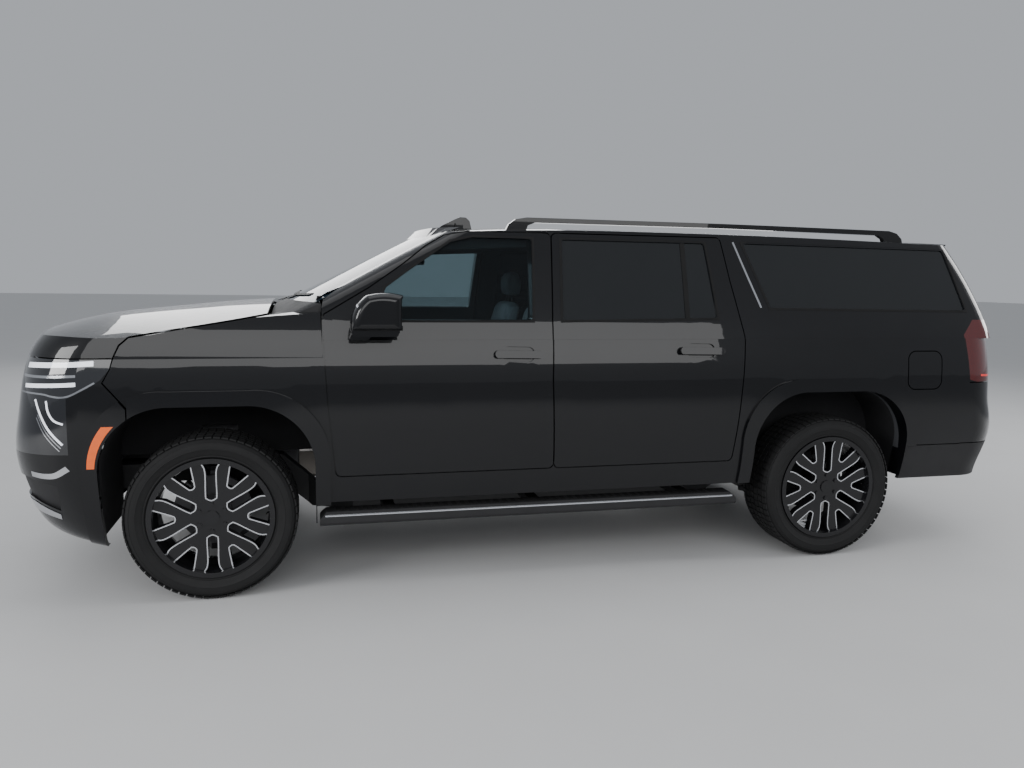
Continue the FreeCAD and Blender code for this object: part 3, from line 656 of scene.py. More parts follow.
def resample(path: Sequence[Point], step: float, closed: bool = False) -> list[Vector]:
    """Points along a smooth line through some points.

    Args:
        path: The points it goes through.
        step: Their distance in metres.
        closed: Whether it comes back to its start.

    Returns:
        The points.
    """
    points = [Vector(p) for p in path]
    count = len(points)
    out: list[Vector] = []
    for i in range(count if closed else count - 1):
        a, b = points[i], points[(i + 1) % count]
        before = points[i - 1] if i or closed else a - (b - a)
        after = points[(i + 2) % count] if i + 2 < count or closed else b + (b - a)
        pieces = max(2, int((b - a).length / step))
        for k in range(pieces):
            t = k / pieces
            out.append(0.5 * ((2 * a) + (b - before) * t + (2 * before - 5 * a + 4 * b - after) * t * t
                              + (3 * a - before - 3 * b + after) * t ** 3))
    if not closed:
        out.append(points[-1])
    return out


def publish(name: str, mesh: bmesh.types.BMesh, finish: Finish, body: str, smooth: bool = True,
            swaps: Sequence[str] = ()) -> bpy.types.Object:
    """Turns a mesh into a finished piece of the vehicle.

    Args:
        name: The piece's name.
        mesh: Its shape, in metres in the vehicle's frame.
        finish: Its finish.
        body: The body that it rides on.
        smooth: Whether its faces are shaded smoothly.
        swaps: CAD nodes that it stands for.

    Returns:
        The object.
    """
    bmesh.ops.recalc_face_normals(mesh, faces=mesh.faces)
    data = bpy.data.meshes.new(name)
    mesh.to_mesh(data)
    mesh.free()
    data.materials.append(coat(finish))
    piece = bpy.data.objects.new(name, data)
    bpy.context.scene.collection.objects.link(piece)
    if smooth:
        data.shade_smooth()
        data.set_sharp_from_angle(angle=SHARP_ANGLE)
    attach(piece, body)
    if swaps:
        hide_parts(*swaps)
    LOG.info("%s: %d faces on %s", name, len(data.polygons), body)
    return piece


def flip(mesh: bmesh.types.BMesh) -> None:
    """Turns a left-hand mesh into its right-hand twin.

    Args:
        mesh: The mesh.
    """
    for corner in mesh.verts:
        corner.co.y = -corner.co.y


def merge(mesh: bmesh.types.BMesh, other: bmesh.types.BMesh) -> None:
    """Adds a mesh to another one and frees it.

    Args:
        mesh: The mesh that grows.
        other: The mesh that is taken up.
    """
    data = bpy.data.meshes.new("merged")
    other.to_mesh(data)
    other.free()
    mesh.from_mesh(data)
    bpy.data.meshes.remove(data)


def mesh_copy(mesh: bmesh.types.BMesh) -> bmesh.types.BMesh:
    """Copies a mesh.

    Args:
        mesh: The mesh, which stays as it is.

    Returns:
        An independent copy.
    """
    data = bpy.data.meshes.new("copy")
    mesh.to_mesh(data)
    out = bmesh.new()
    out.from_mesh(data)
    bpy.data.meshes.remove(data)
    return out


def add_mirror(mesh: bmesh.types.BMesh) -> None:
    """Adds the right-hand twin of everything in a mesh.

    Args:
        mesh: The mesh.
    """
    made = bmesh.ops.duplicate(mesh, geom=mesh.verts[:] + mesh.edges[:] + mesh.faces[:])
    for corner in (g for g in made["geom"] if isinstance(g, bmesh.types.BMVert)):
        corner.co.y = -corner.co.y


def lay_strip(mesh: bmesh.types.BMesh, skin: Skin, path: Sequence[Point], width: float, aim: Aim,
              rise: float = 0.0012, sink: float = 0.003, step: float = 0.02, closed: bool = False,
              taper: float = 1.0) -> None:
    """Lays a flat strip on the skin along a path.

    Args:
        mesh: The mesh that it joins.
        skin: What it lies on.
        path: Points near the skin that its middle follows.
        width: Its width.
        aim: How it is pressed on.
        rise: How far it stands out.
        sink: How far it is let in.
        step: The distance of its cross sections.
        closed: Whether it is a ring.
        taper: Its width at the end as a share of its width at the start.
    """
    line = resample(path, step, closed)
    count = len(line)
    rings: list[Ring] = []
    for i, point in enumerate(line):
        ahead = line[(i + 1) % count] if closed or i + 1 < count else point
        behind = line[i - 1] if closed or i else point
        down = way(aim, point)
        side = down.cross(ahead - behind).normalized() * (width * (1 + (taper - 1) * i / count) / 2)
        edges = [skin.touch(point + side * s, down) for s in (-1, 1)]
        middle = skin.touch(point, down)
        if middle is None and None in edges:
            continue
        edges = [e if e is not None else (middle or edges[0] or edges[1]) + side * s
                 for e, s in zip(edges, (-1, 1))]
        rings.append([mesh.verts.new(edges[0] - down * rise), mesh.verts.new(edges[1] - down * rise),
                      mesh.verts.new(edges[1] + down * sink), mesh.verts.new(edges[0] + down * sink)])
    join_rings(mesh, rings, closed)


def join_rings(mesh: bmesh.types.BMesh, rings: Sequence[Sequence[bmesh.types.BMVert]], closed: bool) -> None:
    """Skins a row of equal rings, with caps where it is open.

    Args:
        mesh: The mesh that holds the rings.
        rings: The rings in order.
        closed: Whether the last joins the first.
    """
    count = len(rings)
    for i in range(count if closed else count - 1):
        a, b = rings[i], rings[(i + 1) % count]
        for k in range(len(a)):
            j = (k + 1) % len(a)
            mesh.faces.new((a[k], a[j], b[j], b[k]))
    if not closed and count > 1:
        mesh.faces.new(list(reversed(rings[0])))
        mesh.faces.new(rings[-1])


def add_bar(mesh: bmesh.types.BMesh, low: Point, high: Point, bevel: float = 0.0) -> None:
    """Adds a box with eased edges between two corners.

    Args:
        mesh: The mesh that it joins.
        low: Its lowest corner.
        high: Its highest corner.
        bevel: How far its edges are eased.
    """
    made = bmesh.ops.create_cube(mesh, size=1.0)
    for corner in made["verts"]:
        corner.co = Vector(lo + (hi - lo) * (c + 0.5) for lo, hi, c in zip(low, high, corner.co))
    if bevel:
        edges = {e for v in made["verts"] for e in v.link_edges}
        bmesh.ops.bevel(mesh, geom=list(edges), offset=bevel, segments=3, affect="EDGES", profile=0.5)


def add_tube(mesh: bmesh.types.BMesh, path: Sequence[Point], radius: float, sides: int = 12,
             closed: bool = False, step: float = 0.02, flat: float = 1.0) -> None:
    """Adds a round tube along a smooth line.

    Args:
        mesh: The mesh that it joins.
        path: The points that it goes through.
        radius: Its radius.
        sides: How many sides it has.
        closed: Whether it is a ring.
        step: The distance of its rings.
        flat: Its height as a share of its width.
    """
    line = resample(path, step, closed)
    count = len(line)
    rings: list[Ring] = []
    for i, point in enumerate(line):
        ahead = line[(i + 1) % count] if closed or i + 1 < count else point
        behind = line[i - 1] if closed or i else point
        along = (ahead - behind).normalized()
        across = along.cross(Vector((0, 0, 1)) if abs(along.z) < 0.95 else Vector((0, 1, 0))).normalized()
        over = along.cross(across)
        rings.append([mesh.verts.new(point + across * (radius * math.cos(TURN * k / sides))
                                     + over * (radius * flat * math.sin(TURN * k / sides)))
                      for k in range(sides)])
    join_rings(mesh, rings, closed)


class Tree(Nodes):
    """A Geometry Nodes tree with named inputs, baked to a plain mesh."""

    def __init__(self, name: str, finish: Finish, **sizes: Number) -> None:
        """Starts the tree.

        Args:
            name: The tree's name.
            finish: What its result is made of.
            sizes: Its named inputs and their values.
        """
        self.name = name
        self.finish = finish
        self.sizes = sizes
        self.tree = bpy.data.node_groups.new(name, "GeometryNodeTree")
        face = self.tree.interface
        face.new_socket("Geometry", in_out="INPUT", socket_type="NodeSocketGeometry")
        face.new_socket("Geometry", in_out="OUTPUT", socket_type="NodeSocketGeometry")
        for key, value in sizes.items():
            kind = "NodeSocketInt" if isinstance(value, int) else "NodeSocketFloat"
            face.new_socket(key, in_out="INPUT", socket_type=kind).default_value = value
        self.entry = self.tree.nodes.new("NodeGroupInput")

    def size(self, key: str) -> bpy.types.NodeSocket:
        """The socket of a named input.

        Args:
            key: The input's name.

        Returns:
            The socket.
        """
        return self.entry.outputs[key]

    def sum(self, operation: str, *values: Any) -> bpy.types.NodeSocket:
        """Adds one Math node and gives its result.

        Args:
            operation: The Math node's operation.
            values: Its inputs in order.

        Returns:
            The result.
        """
        return self.node("ShaderNodeMath", {"operation": operation}, dict(enumerate(values))).outputs[0]

    def vector(self, x: Any = 0.0, y: Any = 0.0, z: Any = 0.0) -> bpy.types.NodeSocket:
        """A vector from three values.

        Args:
            x: First part.
            y: Second part.
            z: Third part.

        Returns:
            The socket that carries it.
        """
        return self.node("ShaderNodeCombineXYZ", None, {0: x, 1: y, 2: z}).outputs[0]

    def bake(self, shape: bpy.types.NodeSocket, seed_mesh: bmesh.types.BMesh) -> bmesh.types.BMesh:
        """Runs the tree on a mesh and gives the result as a plain mesh.

        Args:
            shape: The tree's last geometry.
            seed_mesh: What the tree starts from.

        Returns:
            The result.
        """
        real = self.node("GeometryNodeRealizeInstances", None, {0: shape}).outputs[0]
        clad = self.node("GeometryNodeSetMaterial", None, {"Geometry": real, "Material": coat(self.finish)})
        exit_node = self.tree.nodes.new("NodeGroupOutput")
        self.tree.links.new(clad.outputs[0], exit_node.inputs[0])
        data = bpy.data.meshes.new(self.name + "_seed")
        seed_mesh.to_mesh(data)
        seed_mesh.free()
        holder = bpy.data.objects.new(self.name + "_seed", data)
        bpy.context.scene.collection.objects.link(holder)
        modifier = holder.modifiers.new("nodes", "NODES")
        modifier.node_group = self.tree
        for item in self.tree.interface.items_tree:
            if item.in_out == "INPUT" and item.name in self.sizes:
                modifier[item.identifier] = self.sizes[item.name]
        evaluated = holder.evaluated_get(bpy.context.evaluated_depsgraph_get())
        result = bpy.data.meshes.new_from_object(evaluated)
        holder.modifiers.remove(modifier)
        bpy.data.objects.remove(holder)
        bpy.data.meshes.remove(data)
        out = bmesh.new()
        out.from_mesh(result)
        bpy.data.meshes.remove(result)
        return out


def path2(aim: Aim, flat: Sequence[Flat]) -> list[Point]:
    """Puts flat points near the skin that an aim looks at.

    Args:
        aim: SIDE takes (x, z), NOSE and TAIL take (y, z), TOP takes (x, y).
        flat: The flat points in metres.

    Returns:
        Points in space.
    """
    if aim is Aim.SIDE:
        return [(a, SIDE_PLANE, b) for a, b in flat]
    if aim is Aim.TOP:
        return [(a, b, ROOF_PLANE) for a, b in flat]
    return [(-END_PLANE if aim is Aim.NOSE else END_PLANE, a, b) for a, b in flat]


@dataclass
class Wheels:
    """Tyres with tread, bright spoke outlines, valves and brake calipers."""

    axles: dict[str, float] = field(default_factory=lambda: {"front": -1.876, "rear": 1.53})
    track_half: float = 0.869
    radius: float = 0.411
    half_width: float = 0.1375
    face: float = 0.109
    pitches: int = 66
    groove: float = 0.0075
    channel: Sequence[Flat] = (
        (0.276, -0.0455), (0.232, -0.0265), (0.112, -0.0262), (0.096, -0.021), (0.0865, 0.0),
        (0.096, 0.021), (0.112, 0.0262), (0.232, 0.0265), (0.276, 0.0455))
    pocket: Sequence[Flat] = (
        (0.275, -0.0525), (0.186, -0.0195), (0.172, -0.012), (0.1685, 0.0), (0.172, 0.012),
        (0.186, 0.0195), (0.275, 0.0525))

    def profile(self) -> list[Flat]:
        """The tyre's section as (radius, offset from the middle), round one side to the other.

        Returns:
            The section's points in order.
        """
        w = self.half_width
        side = [(0.2905, 0.112), (0.300, 0.1165), (0.3045, 0.124), (0.309, 0.1262), (0.3135, 0.1245),
                (0.318, 0.1270), (0.330, 0.1325), (0.345, w - 0.0012), (0.3465, w), (0.3485, w),
                (0.350, w - 0.0014), (0.362, w - 0.0012), (0.3745, w - 0.0035), (0.3755, w - 0.0022),
                (0.3785, w - 0.003), (0.380, w - 0.0055), (0.3895, w - 0.012), (0.3985, w - 0.024),
                (0.4025, w - 0.038), (0.4032, 0.090)]
        return [(r, -y) for r, y in side] + [(0.4034, -0.05), (0.4034, 0.0), (0.4034, 0.05)] + [
            (r, y) for r, y in reversed(side)]

    def casing(self, mesh: bmesh.types.BMesh, sides: int = 120) -> None:
        """Turns the section round the axle.

        Args:
            mesh: The mesh that it joins.
            sides: How many steps a turn has.
        """
        section = self.profile()
        rings = [[mesh.verts.new((r * math.cos(a), y, r * math.sin(a))) for r, y in section]
                 for a in (TURN * i / sides for i in range(sides))]
        join_rings(mesh, rings, True)

    def tread_pitch(self) -> bmesh.types.BMesh:
        """The blocks of one pitch, side by side across the tread.

        Returns:
            The blocks.
        """
        mesh = bmesh.new()
        length = TURN * self.radius / self.pitches
        top = self.radius - 0.0006
        rows = ((-0.124, -0.094, 0.0, 0.0), (-0.086, -0.050, 0.35, 0.25), (-0.042, -0.006, 0.15, -0.3),
                (0.002, 0.038, 0.6, 0.3), (0.046, 0.082, 0.4, -0.25), (0.090, 0.124, 0.1, 0.0))
        for y0, y1, shift, skew in rows:
            start = -length / 2 + shift * length * 0.12
            end = start + length * 0.80
            heights = [top - (0.0055 if abs(y) > 0.12 else 0.0) for y in (y0, y1)]
            floor = [0.4015 - (0.004 if abs(y) > 0.12 else 0.0) for y in (y0, y1)]
            corners = []
            for level in (floor, heights):
                for s in (start, end):
                    for k, y in enumerate((y0, y1)):
                        corners.append(mesh.verts.new((s + skew * (y - y0) * 0.4, y, level[k])))
            for quad in ((0, 1, 3, 2), (4, 6, 7, 5), (0, 4, 5, 1), (2, 3, 7, 6), (0, 2, 6, 4),
                         (1, 5, 7, 3)):
                mesh.faces.new([corners[q] for q in quad])
        return mesh

    def round_axle(self, name: str, finish: Finish, seed: bmesh.types.BMesh, count: int,
                   lift: float = 0.0) -> bmesh.types.BMesh:
        """Repeats a seed round the wheel's axle.

        Args:
            name: The tree's name.
            finish: What it is made of.
            seed: One pitch or sector.
            count: How many there are in a turn.
            lift: How far along the radius the seed's own zero lies.

        Returns:
            The whole ring.
        """
        tree = Tree(name, finish, Count=count, Lift=lift)
        line = tree.node("GeometryNodeMeshLine", None, {
            "Count": tree.size("Count"), "Offset": (0.0, 0.0, 0.0)})
        index = tree.node("GeometryNodeInputIndex").outputs[0]
        angle = tree.sum("MULTIPLY", index, tree.sum("DIVIDE", TURN, tree.size("Count")))
        shifted = tree.node("GeometryNodeTransform", None, {
            "Geometry": tree.size("Geometry"), "Translation": tree.vector(z=tree.size("Lift"))})
        placed = tree.node("GeometryNodeInstanceOnPoints", None, {
            "Points": line.outputs[0], "Instance": shifted.outputs[0], "Rotation": tree.vector(y=angle)})
        return tree.bake(placed.outputs[0], seed)

    def bands(self) -> bmesh.types.BMesh:
        """The bright lines of one sixth of the wheel's face.

        Returns:
            The lines.
        """
        mesh = bmesh.new()
        for outline, turn in ((self.channel, math.radians(30)), (self.pocket, 0.0)):
            line = resample([(r, 0.0, t) for r, t in outline], 0.006)
            rings = []
            for i, point in enumerate(line):
                ahead, behind = line[min(i + 1, len(line) - 1)], line[max(i - 1, 0)]
                side = (ahead - behind).cross(Vector((0, 1, 0))).normalized() * 0.0029
                rings.append([(point + side * s) + Vector((0, -self.face - h, 0))
                              for s, h in ((-1, 0.0009), (1, 0.0009), (1, -0.002), (-1, -0.002))])
            spin = Matrix.Rotation(-turn, 3, "Y")
            join_rings(mesh, [[mesh.verts.new(spin @ v) for v in ring] for ring in rings], False)
        return mesh

    def place(self, mesh: bmesh.types.BMesh, end: str, side: str) -> None:
        """Moves a mesh made round the origin to its wheel.

        Args:
            mesh: The mesh, with its outer side towards -Y.
            end: front or rear.
            side: left or right.
        """
        for corner in mesh.verts:
            x, y, z = corner.co
            y -= self.track_half
            corner.co = (x + self.axles[end], y if side == "left" else -y, z + self.radius)

    def build(self) -> None:
        """Makes every wheel's pieces."""
        for end in self.axles:
            for side in ("left", "right"):
                body = f"{end}_wheel_{side}"
                tyre = bmesh.new()
                self.casing(tyre)
                merge(tyre, self.round_axle(f"tread_{end}_{side}", Finish.RUBBER, self.tread_pitch(),
                                            self.pitches))
                self.place(tyre, end, side)
                publish(f"treaded_tyre_{end}_{side}", tyre, Finish.RUBBER, body, True,
                        [f"tyre_{end}_{side}"])
                lines = self.round_axle(f"bands_{end}_{side}", Finish.TURNED, self.bands(), 6)
                self.place(lines, end, side)
                publish(f"spoke_lines_{end}_{side}", lines, Finish.TURNED, body, False)
                valve = bmesh.new()
                add_tube(valve, [(0.262, -0.055, 0.0), (0.255, -0.085, 0.0)], 0.004, 10)
                self.place(valve, end, side)
                publish(f"tyre_valve_{end}_{side}", valve, Finish.RUBBER, body)
                self.caliper(end, side)

    def caliper(self, end: str, side: str) -> None:
        """Adds the brake caliper that straddles the disc behind the spokes.

        Args:
            end: front or rear.
            side: left or right.
        """
        mesh = bmesh.new()
        span = math.radians(24)
        lean = math.radians(155 if end == "front" else 25)
        for r0, r1, y0, y1 in ((0.118, 0.196, 0.037, 0.053), (0.178, 0.198, 0.035, 0.105),
                               (0.118, 0.196, 0.087, 0.103)):
            rings = []
            for i in range(13):
                a = lean - span + 2 * span * i / 12
                rings.append([mesh.verts.new((r * math.cos(a), y, r * math.sin(a)))
                              for r, y in ((r0, y0), (r1, y0), (r1, y1), (r0, y1))])
            join_rings(mesh, rings, False)
        self.place(mesh, end, side)
        carrier = f"knuckle_{side}_body" if end == "front" else "body"
        publish(f"brake_caliper_{end}_{side}", mesh, Finish.CAST, carrier, False)


@dataclass
class Lamps:
    """Bright and lit lines in the lamps, laid on their covers."""

    bar_width: float = 0.024
    line_width: float = 0.008
    upper_bar: Sequence[Point] = (
        (-2.665, -0.84, 1.161), (-2.612, -0.921, 1.165), (-2.54, -0.958, 1.168), (-2.45, -0.985, 1.172),
        (-2.365, -0.995, 1.177))
    lower_bar: Sequence[Point] = (
        (-2.67, -0.85, 1.066), (-2.608, -0.953, 1.072), (-2.53, -0.985, 1.076), (-2.445, -1.006, 1.081))
    band: Sequence[Point] = (
        (-2.70, -0.80, 1.112), (-2.647, -0.90, 1.112), (-2.55, -0.965, 1.114), (-2.441, -0.998, 1.119))
    lip: Sequence[Point] = (
        (-2.70, -0.80, 1.036), (-2.608, -0.961, 1.034), (-2.56, -0.985, 1.026), (-2.52, -0.998, 1.021),
        (-2.47, -1.0, 1.028), (-2.42, -1.0, 1.053), (-2.36, -1.0, 1.088))
    outer_hook: Sequence[Point] = (
        (-2.629, -0.938, 1.008), (-2.618, -0.964, 0.955), (-2.582, -0.990, 0.880), (-2.513, -1.007, 0.800))
    inner_hook: Sequence[Point] = (
        (-2.583, -0.981, 1.004), (-2.575, -0.988, 0.955), (-2.549, -1.0, 0.914), (-2.507, -1.010, 0.897))
    bumper_hook: Sequence[Point] = (
        (-2.655, -0.90, 0.652), (-2.60, -0.95, 0.646), (-2.55, -0.975, 0.652), (-2.497, -0.997, 0.686))

    def build(self) -> None:
        """Makes the lines of both sides."""
        skin = Skin("headlamps", "front_bumper", "front_fenders")
        lit = bmesh.new()
        for path, width in ((self.upper_bar, self.bar_width), (self.lower_bar, 0.019),
                            (self.outer_hook, 0.010), (self.inner_hook, 0.009)):
            lay_strip(lit, skin, path, width, Aim.FRONT_CORNER, 0.0012, 0.002, 0.012)
        add_mirror(lit)
        publish("headlamp_light_strips", lit, Finish.STRIP, "body")
        bright = bmesh.new()
        lay_strip(bright, skin, self.band, 0.012, Aim.FRONT_CORNER, 0.0014, 0.002, 0.012)
        lay_strip(bright, skin, self.lip, self.line_width, Aim.FRONT_CORNER, 0.0014, 0.002, 0.012)
        lay_strip(bright, skin, self.bumper_hook, 0.026, Aim.FRONT_CORNER, 0.002, 0.003, 0.012)
        for shift in (0.016, 0.030):
            inner = [(x - shift * 0.4, y + shift * 0.25, z - shift) for x, y, z in self.outer_hook[1:]]
            lay_strip(bright, skin, inner, 0.004, Aim.FRONT_CORNER, 0.001, 0.002, 0.012)
        add_mirror(bright)
        publish("headlamp_bright_lines", bright, Finish.CHROME, "body")
        self.tail()

    def tail(self) -> None:
        """Makes the lit lines of the tail lamps and the high stop lamp."""
        skin = Skin("taillamps", "rear_bumper", "liftgate")
        lit = bmesh.new()
        for x, y in ((2.70, -0.905), (2.735, -0.845)):
            lay_strip(lit, skin, [(x, y, 1.055), (x, y, 1.20), (x - 0.004, y + 0.002, 1.36)], 0.016,
                      Aim.REAR_CORNER, 0.0012, 0.002, 0.02)
        lay_strip(lit, skin, [(2.52, -1.0, 1.060), (2.60, -0.98, 1.056), (2.70, -0.905, 1.055)], 0.012,
                  Aim.REAR_CORNER, 0.0012, 0.002, 0.02)
        lay_strip(lit, skin, path2(Aim.TAIL, [(-0.86, 0.735), (-0.64, 0.735)]), 0.03, Aim.TAIL)
        add_mirror(lit)
        publish("tail_light_strips", lit, Finish.RED_LIT, "body")
        stop = bmesh.new()
        lay_strip(stop, skin, path2(Aim.TAIL, [(-0.17, 1.826), (0.17, 1.826)]), 0.014, Aim.TAIL)
        publish("high_stop_lamp", stop, Finish.RED_LIT, "liftgate_body")


@dataclass
class Front:
    """Fine lattice behind the grille bars and sensors in the bumpers."""

    width: float = 1.44
    columns: int = 109
    rows: int = 7
    step: float = 0.046
    middle: float = 1.037
    depth: float = 0.046
    crown: float = 7.2
    lean: float = 0.19
    nose: float = -2.8665

    def build(self) -> None:
        """Makes the mesh and the sensors."""
        seed = bmesh.new()
        for lean in (-1, 1):
            rings = [[seed.verts.new((dx, dy + lean * t * 0.0066, t * 0.0165))
                      for dx, dy in ((-0.003, -0.0011), (-0.003, 0.0011), (0.003, 0.0011), (0.003, -0.0011))]
                     for t in (-1.0, 1.0)]
            join_rings(seed, rings, False)
        tree = Tree("grille_lattice", Finish.GLOSS, Width=self.width, Columns=self.columns, Rows=self.rows,
                    Step=self.step, Depth=self.depth)
        height = tree.sum("MULTIPLY", tree.size("Step"), tree.sum("SUBTRACT", tree.size("Rows"), 1.0))
        grid = tree.node("GeometryNodeMeshGrid", None, {
            "Size X": tree.size("Width"), "Size Y": height,
            "Vertices X": tree.size("Columns"), "Vertices Y": tree.size("Rows")})
        where = tree.node("ShaderNodeSeparateXYZ", None, {
            0: tree.node("GeometryNodeInputPosition").outputs[0]})
        across, up = where.outputs[0], where.outputs[1]
        z = tree.sum("ADD", up, self.middle)
        bow = tree.sum("DIVIDE", tree.sum("MULTIPLY", across, across), self.crown)
        rake = tree.sum("MULTIPLY", tree.sum("SUBTRACT", z, 0.8), self.lean)
        x = tree.sum("ADD", tree.sum("ADD", bow, rake), tree.sum("ADD", tree.size("Depth"), self.nose))
        curved = tree.node("GeometryNodeSetPosition", None, {
            "Geometry": grid.outputs[0], "Position": tree.vector(x, across, z)})
        placed = tree.node("GeometryNodeInstanceOnPoints", None, {
            "Points": curved.outputs[0], "Instance": tree.size("Geometry")})
        publish("grille_lattice", tree.bake(placed.outputs[0], seed), Finish.GLOSS, "body", False)
        skin = Skin("front_bumper", "rear_bumper", "rear_valance")
        dots = bmesh.new()
        for y, z in ((-0.62, 0.70), (-0.24, 0.705)):
            add_button(dots, skin, (-2.6, y, z), Aim.NOSE, 0.011)
        for y, z in ((-0.78, 0.615), (-0.30, 0.615)):
            add_button(dots, skin, (2.6, y, z), Aim.TAIL, 0.011)
        add_mirror(dots)
        publish("parking_sensors", dots, Finish.PLASTIC, "body")


def add_button(mesh: bmesh.types.BMesh, skin: Skin, point: Point, aim: Aim, radius: float,
               rise: float = 0.0012) -> None:
    """Adds a round button pressed on the skin.

    Args:
        mesh: The mesh that it joins.
        skin: What it sits on.
        point: A point near its middle.
        aim: How it is pressed on.
        radius: Its radius.
        rise: How far it stands out.
    """
    start = Vector(point)
    down = way(aim, start)
    across = down.cross(Vector((0, 0, 1))).normalized()
    over = down.cross(across)
    rings = []
    for share, lift in ((1.0, -0.002), (1.0, rise * 0.6), (0.86, rise), (0.10, rise * 1.1)):
        ring = []
        for k in range(BUTTON_SIDES):
            a = TURN * k / BUTTON_SIDES
            spot = start + (across * math.cos(a) + over * math.sin(a)) * radius * share
            touch = skin.touch(spot, down)
            ring.append(mesh.verts.new((touch if touch is not None else spot) - down * lift))
        rings.append(ring)
    join_rings(mesh, rings, False)


@dataclass
class Trim:
    """Seals, bright lines, the divider bar, roof glass seams, wipers and the tail's small parts."""

    front_window: Sequence[Flat] = (
        (-1.085, 1.378), (-0.262, 1.378), (-0.236, 1.808), (-0.560, 1.806), (-0.677, 1.778),
        (-0.903, 1.625), (-1.016, 1.545))
    rear_window: Sequence[Flat] = (
        (-0.093, 1.378), (0.800, 1.393), (0.768, 1.808), (-0.066, 1.808))
    quarter_window: Sequence[Flat] = (
        (1.140, 1.448), (2.440, 1.440), (2.350, 1.800), (1.010, 1.812))
    shield: Sequence[Flat] = ((-0.850, 1.462), (0.850, 1.462), (0.672, 1.852), (-0.672, 1.852))
    gate_window: Sequence[Flat] = (
        (-0.610, 1.400), (0.610, 1.400), (0.560, 1.660), (0.525, 1.752), (-0.525, 1.752), (-0.560, 1.660))

    def frame(self, mesh: bmesh.types.BMesh, skin: Skin, outline: Sequence[Flat], aim: Aim,
              width: float, out: float, rise: float = 0.0012) -> None:
        """Lays straight strips round a window, a little outside its edge.

        Args:
            mesh: The mesh that they join.
            skin: What they lie on.
            outline: The window's corners.
            aim: How they are pressed on.
            width: The strips' width.
            out: How far outside the edge their middle runs.
            rise: How far they stand out.
        """
        centre = Vector((sum(p[0] for p in outline), sum(p[1] for p in outline))) / len(outline)
        corners = []
        for a, b in outline:
            away = Vector((a, b)) - centre
            corners.append(Vector((a, b)) + away.normalized() * out)
        for i, start in enumerate(corners):
            end = corners[(i + 1) % len(corners)]
            along = (end - start).normalized() * (width / 2)
            flat = [tuple(start - along), tuple(start.lerp(end, 0.5)), tuple(end + along)]
            lay_strip(mesh, skin, path2(aim, flat), width, aim, rise, 0.003, 0.05)

    def sides(self) -> None:
        """Makes the door and side window seals and the two bright lines."""
        for side in ("left", "right"):
            for door, outline in (("front", self.front_window), ("rear", self.rear_window)):
                seal = bmesh.new()
                self.frame(seal, Skin(f"{door}_door_left"), outline, Aim.SIDE, 0.012, 0.009)
                if door == "rear":
                    glass = Skin("rear_door_glass_left")
                    lay_strip(seal, glass, path2(Aim.SIDE, [(0.624, 1.392), (0.631, 1.60), (0.638, 1.806)]),
                              0.026, Aim.SIDE, 0.004, 0.001)
                if side == "right":
                    flip(seal)
                publish(f"{door}_window_seal_{side}", seal, Finish.SEAL, f"{door}_door_{side}_body", False)
        seals = bmesh.new()
        self.frame(seals, Skin("body_side_left"), self.quarter_window, Aim.SIDE, 0.012, 0.009)
        add_mirror(seals)
        publish("quarter_window_seals", seals, Finish.SEAL, "body", False)
        bright = bmesh.new()
        lay_strip(bright, Skin("body_side_left", "quarter_glass"),
                  path2(Aim.SIDE, [(0.951, 1.818), (1.010, 1.640), (1.077, 1.452)]), 0.011, Aim.SIDE, 0.002)
        add_mirror(bright)
        publish("pillar_bright_lines", bright, Finish.CHROME, "body")
        edge = bmesh.new()
        lay_strip(edge, Skin("running_boards"),
                  [(-1.335, -0.99, 0.389), (-0.2, -0.99, 0.389), (0.925, -0.99, 0.389)],
                  0.009, Aim.SIDE, 0.001, 0.002, 0.1)
        add_mirror(edge)
        publish("running_board_edge_lines", edge, Finish.TURNED, "body")

    def ends(self) -> None:
        """Makes the windshield and tailgate bands, roof seams, tail grip and wipers."""
        band = bmesh.new()
        self.frame(band, Skin("windshield"), self.shield, Aim.NOSE, 0.05, -0.03, 0.0006)
        publish("windshield_dark_band", band, Finish.GLOSS, "body", False)
        gate = bmesh.new()
        self.frame(gate, Skin("liftgate"), self.gate_window, Aim.TAIL, 0.012, 0.009)
        grip = path2(Aim.TAIL, [(-0.36, 1.225), (0.0, 1.228), (0.36, 1.225)])
        lay_strip(gate, Skin("liftgate"), grip, 0.03, Aim.TAIL, 0.004)
        publish("liftgate_seal_and_grip", gate, Finish.SEAL, "liftgate_body", False)
        roof = bmesh.new()
        skin = Skin("roof")
        for x0, x1 in ((-0.52, 0.12), (0.16, 0.98)):
            corners = [(x0, -0.46), (x1, -0.46), (x1, 0.46), (x0, 0.46)]
            for i, a in enumerate(corners):
                b = corners[(i + 1) % 4]
                middle = ((a[0] + b[0]) / 2, (a[1] + b[1]) / 2)
                lay_strip(roof, skin, path2(Aim.TOP, [a, middle, b]), 0.008, Aim.TOP, 0.0006, 0.002, 0.05)
        publish("roof_glass_seams", roof, Finish.SEAL, "body", False)
        self.wipers()

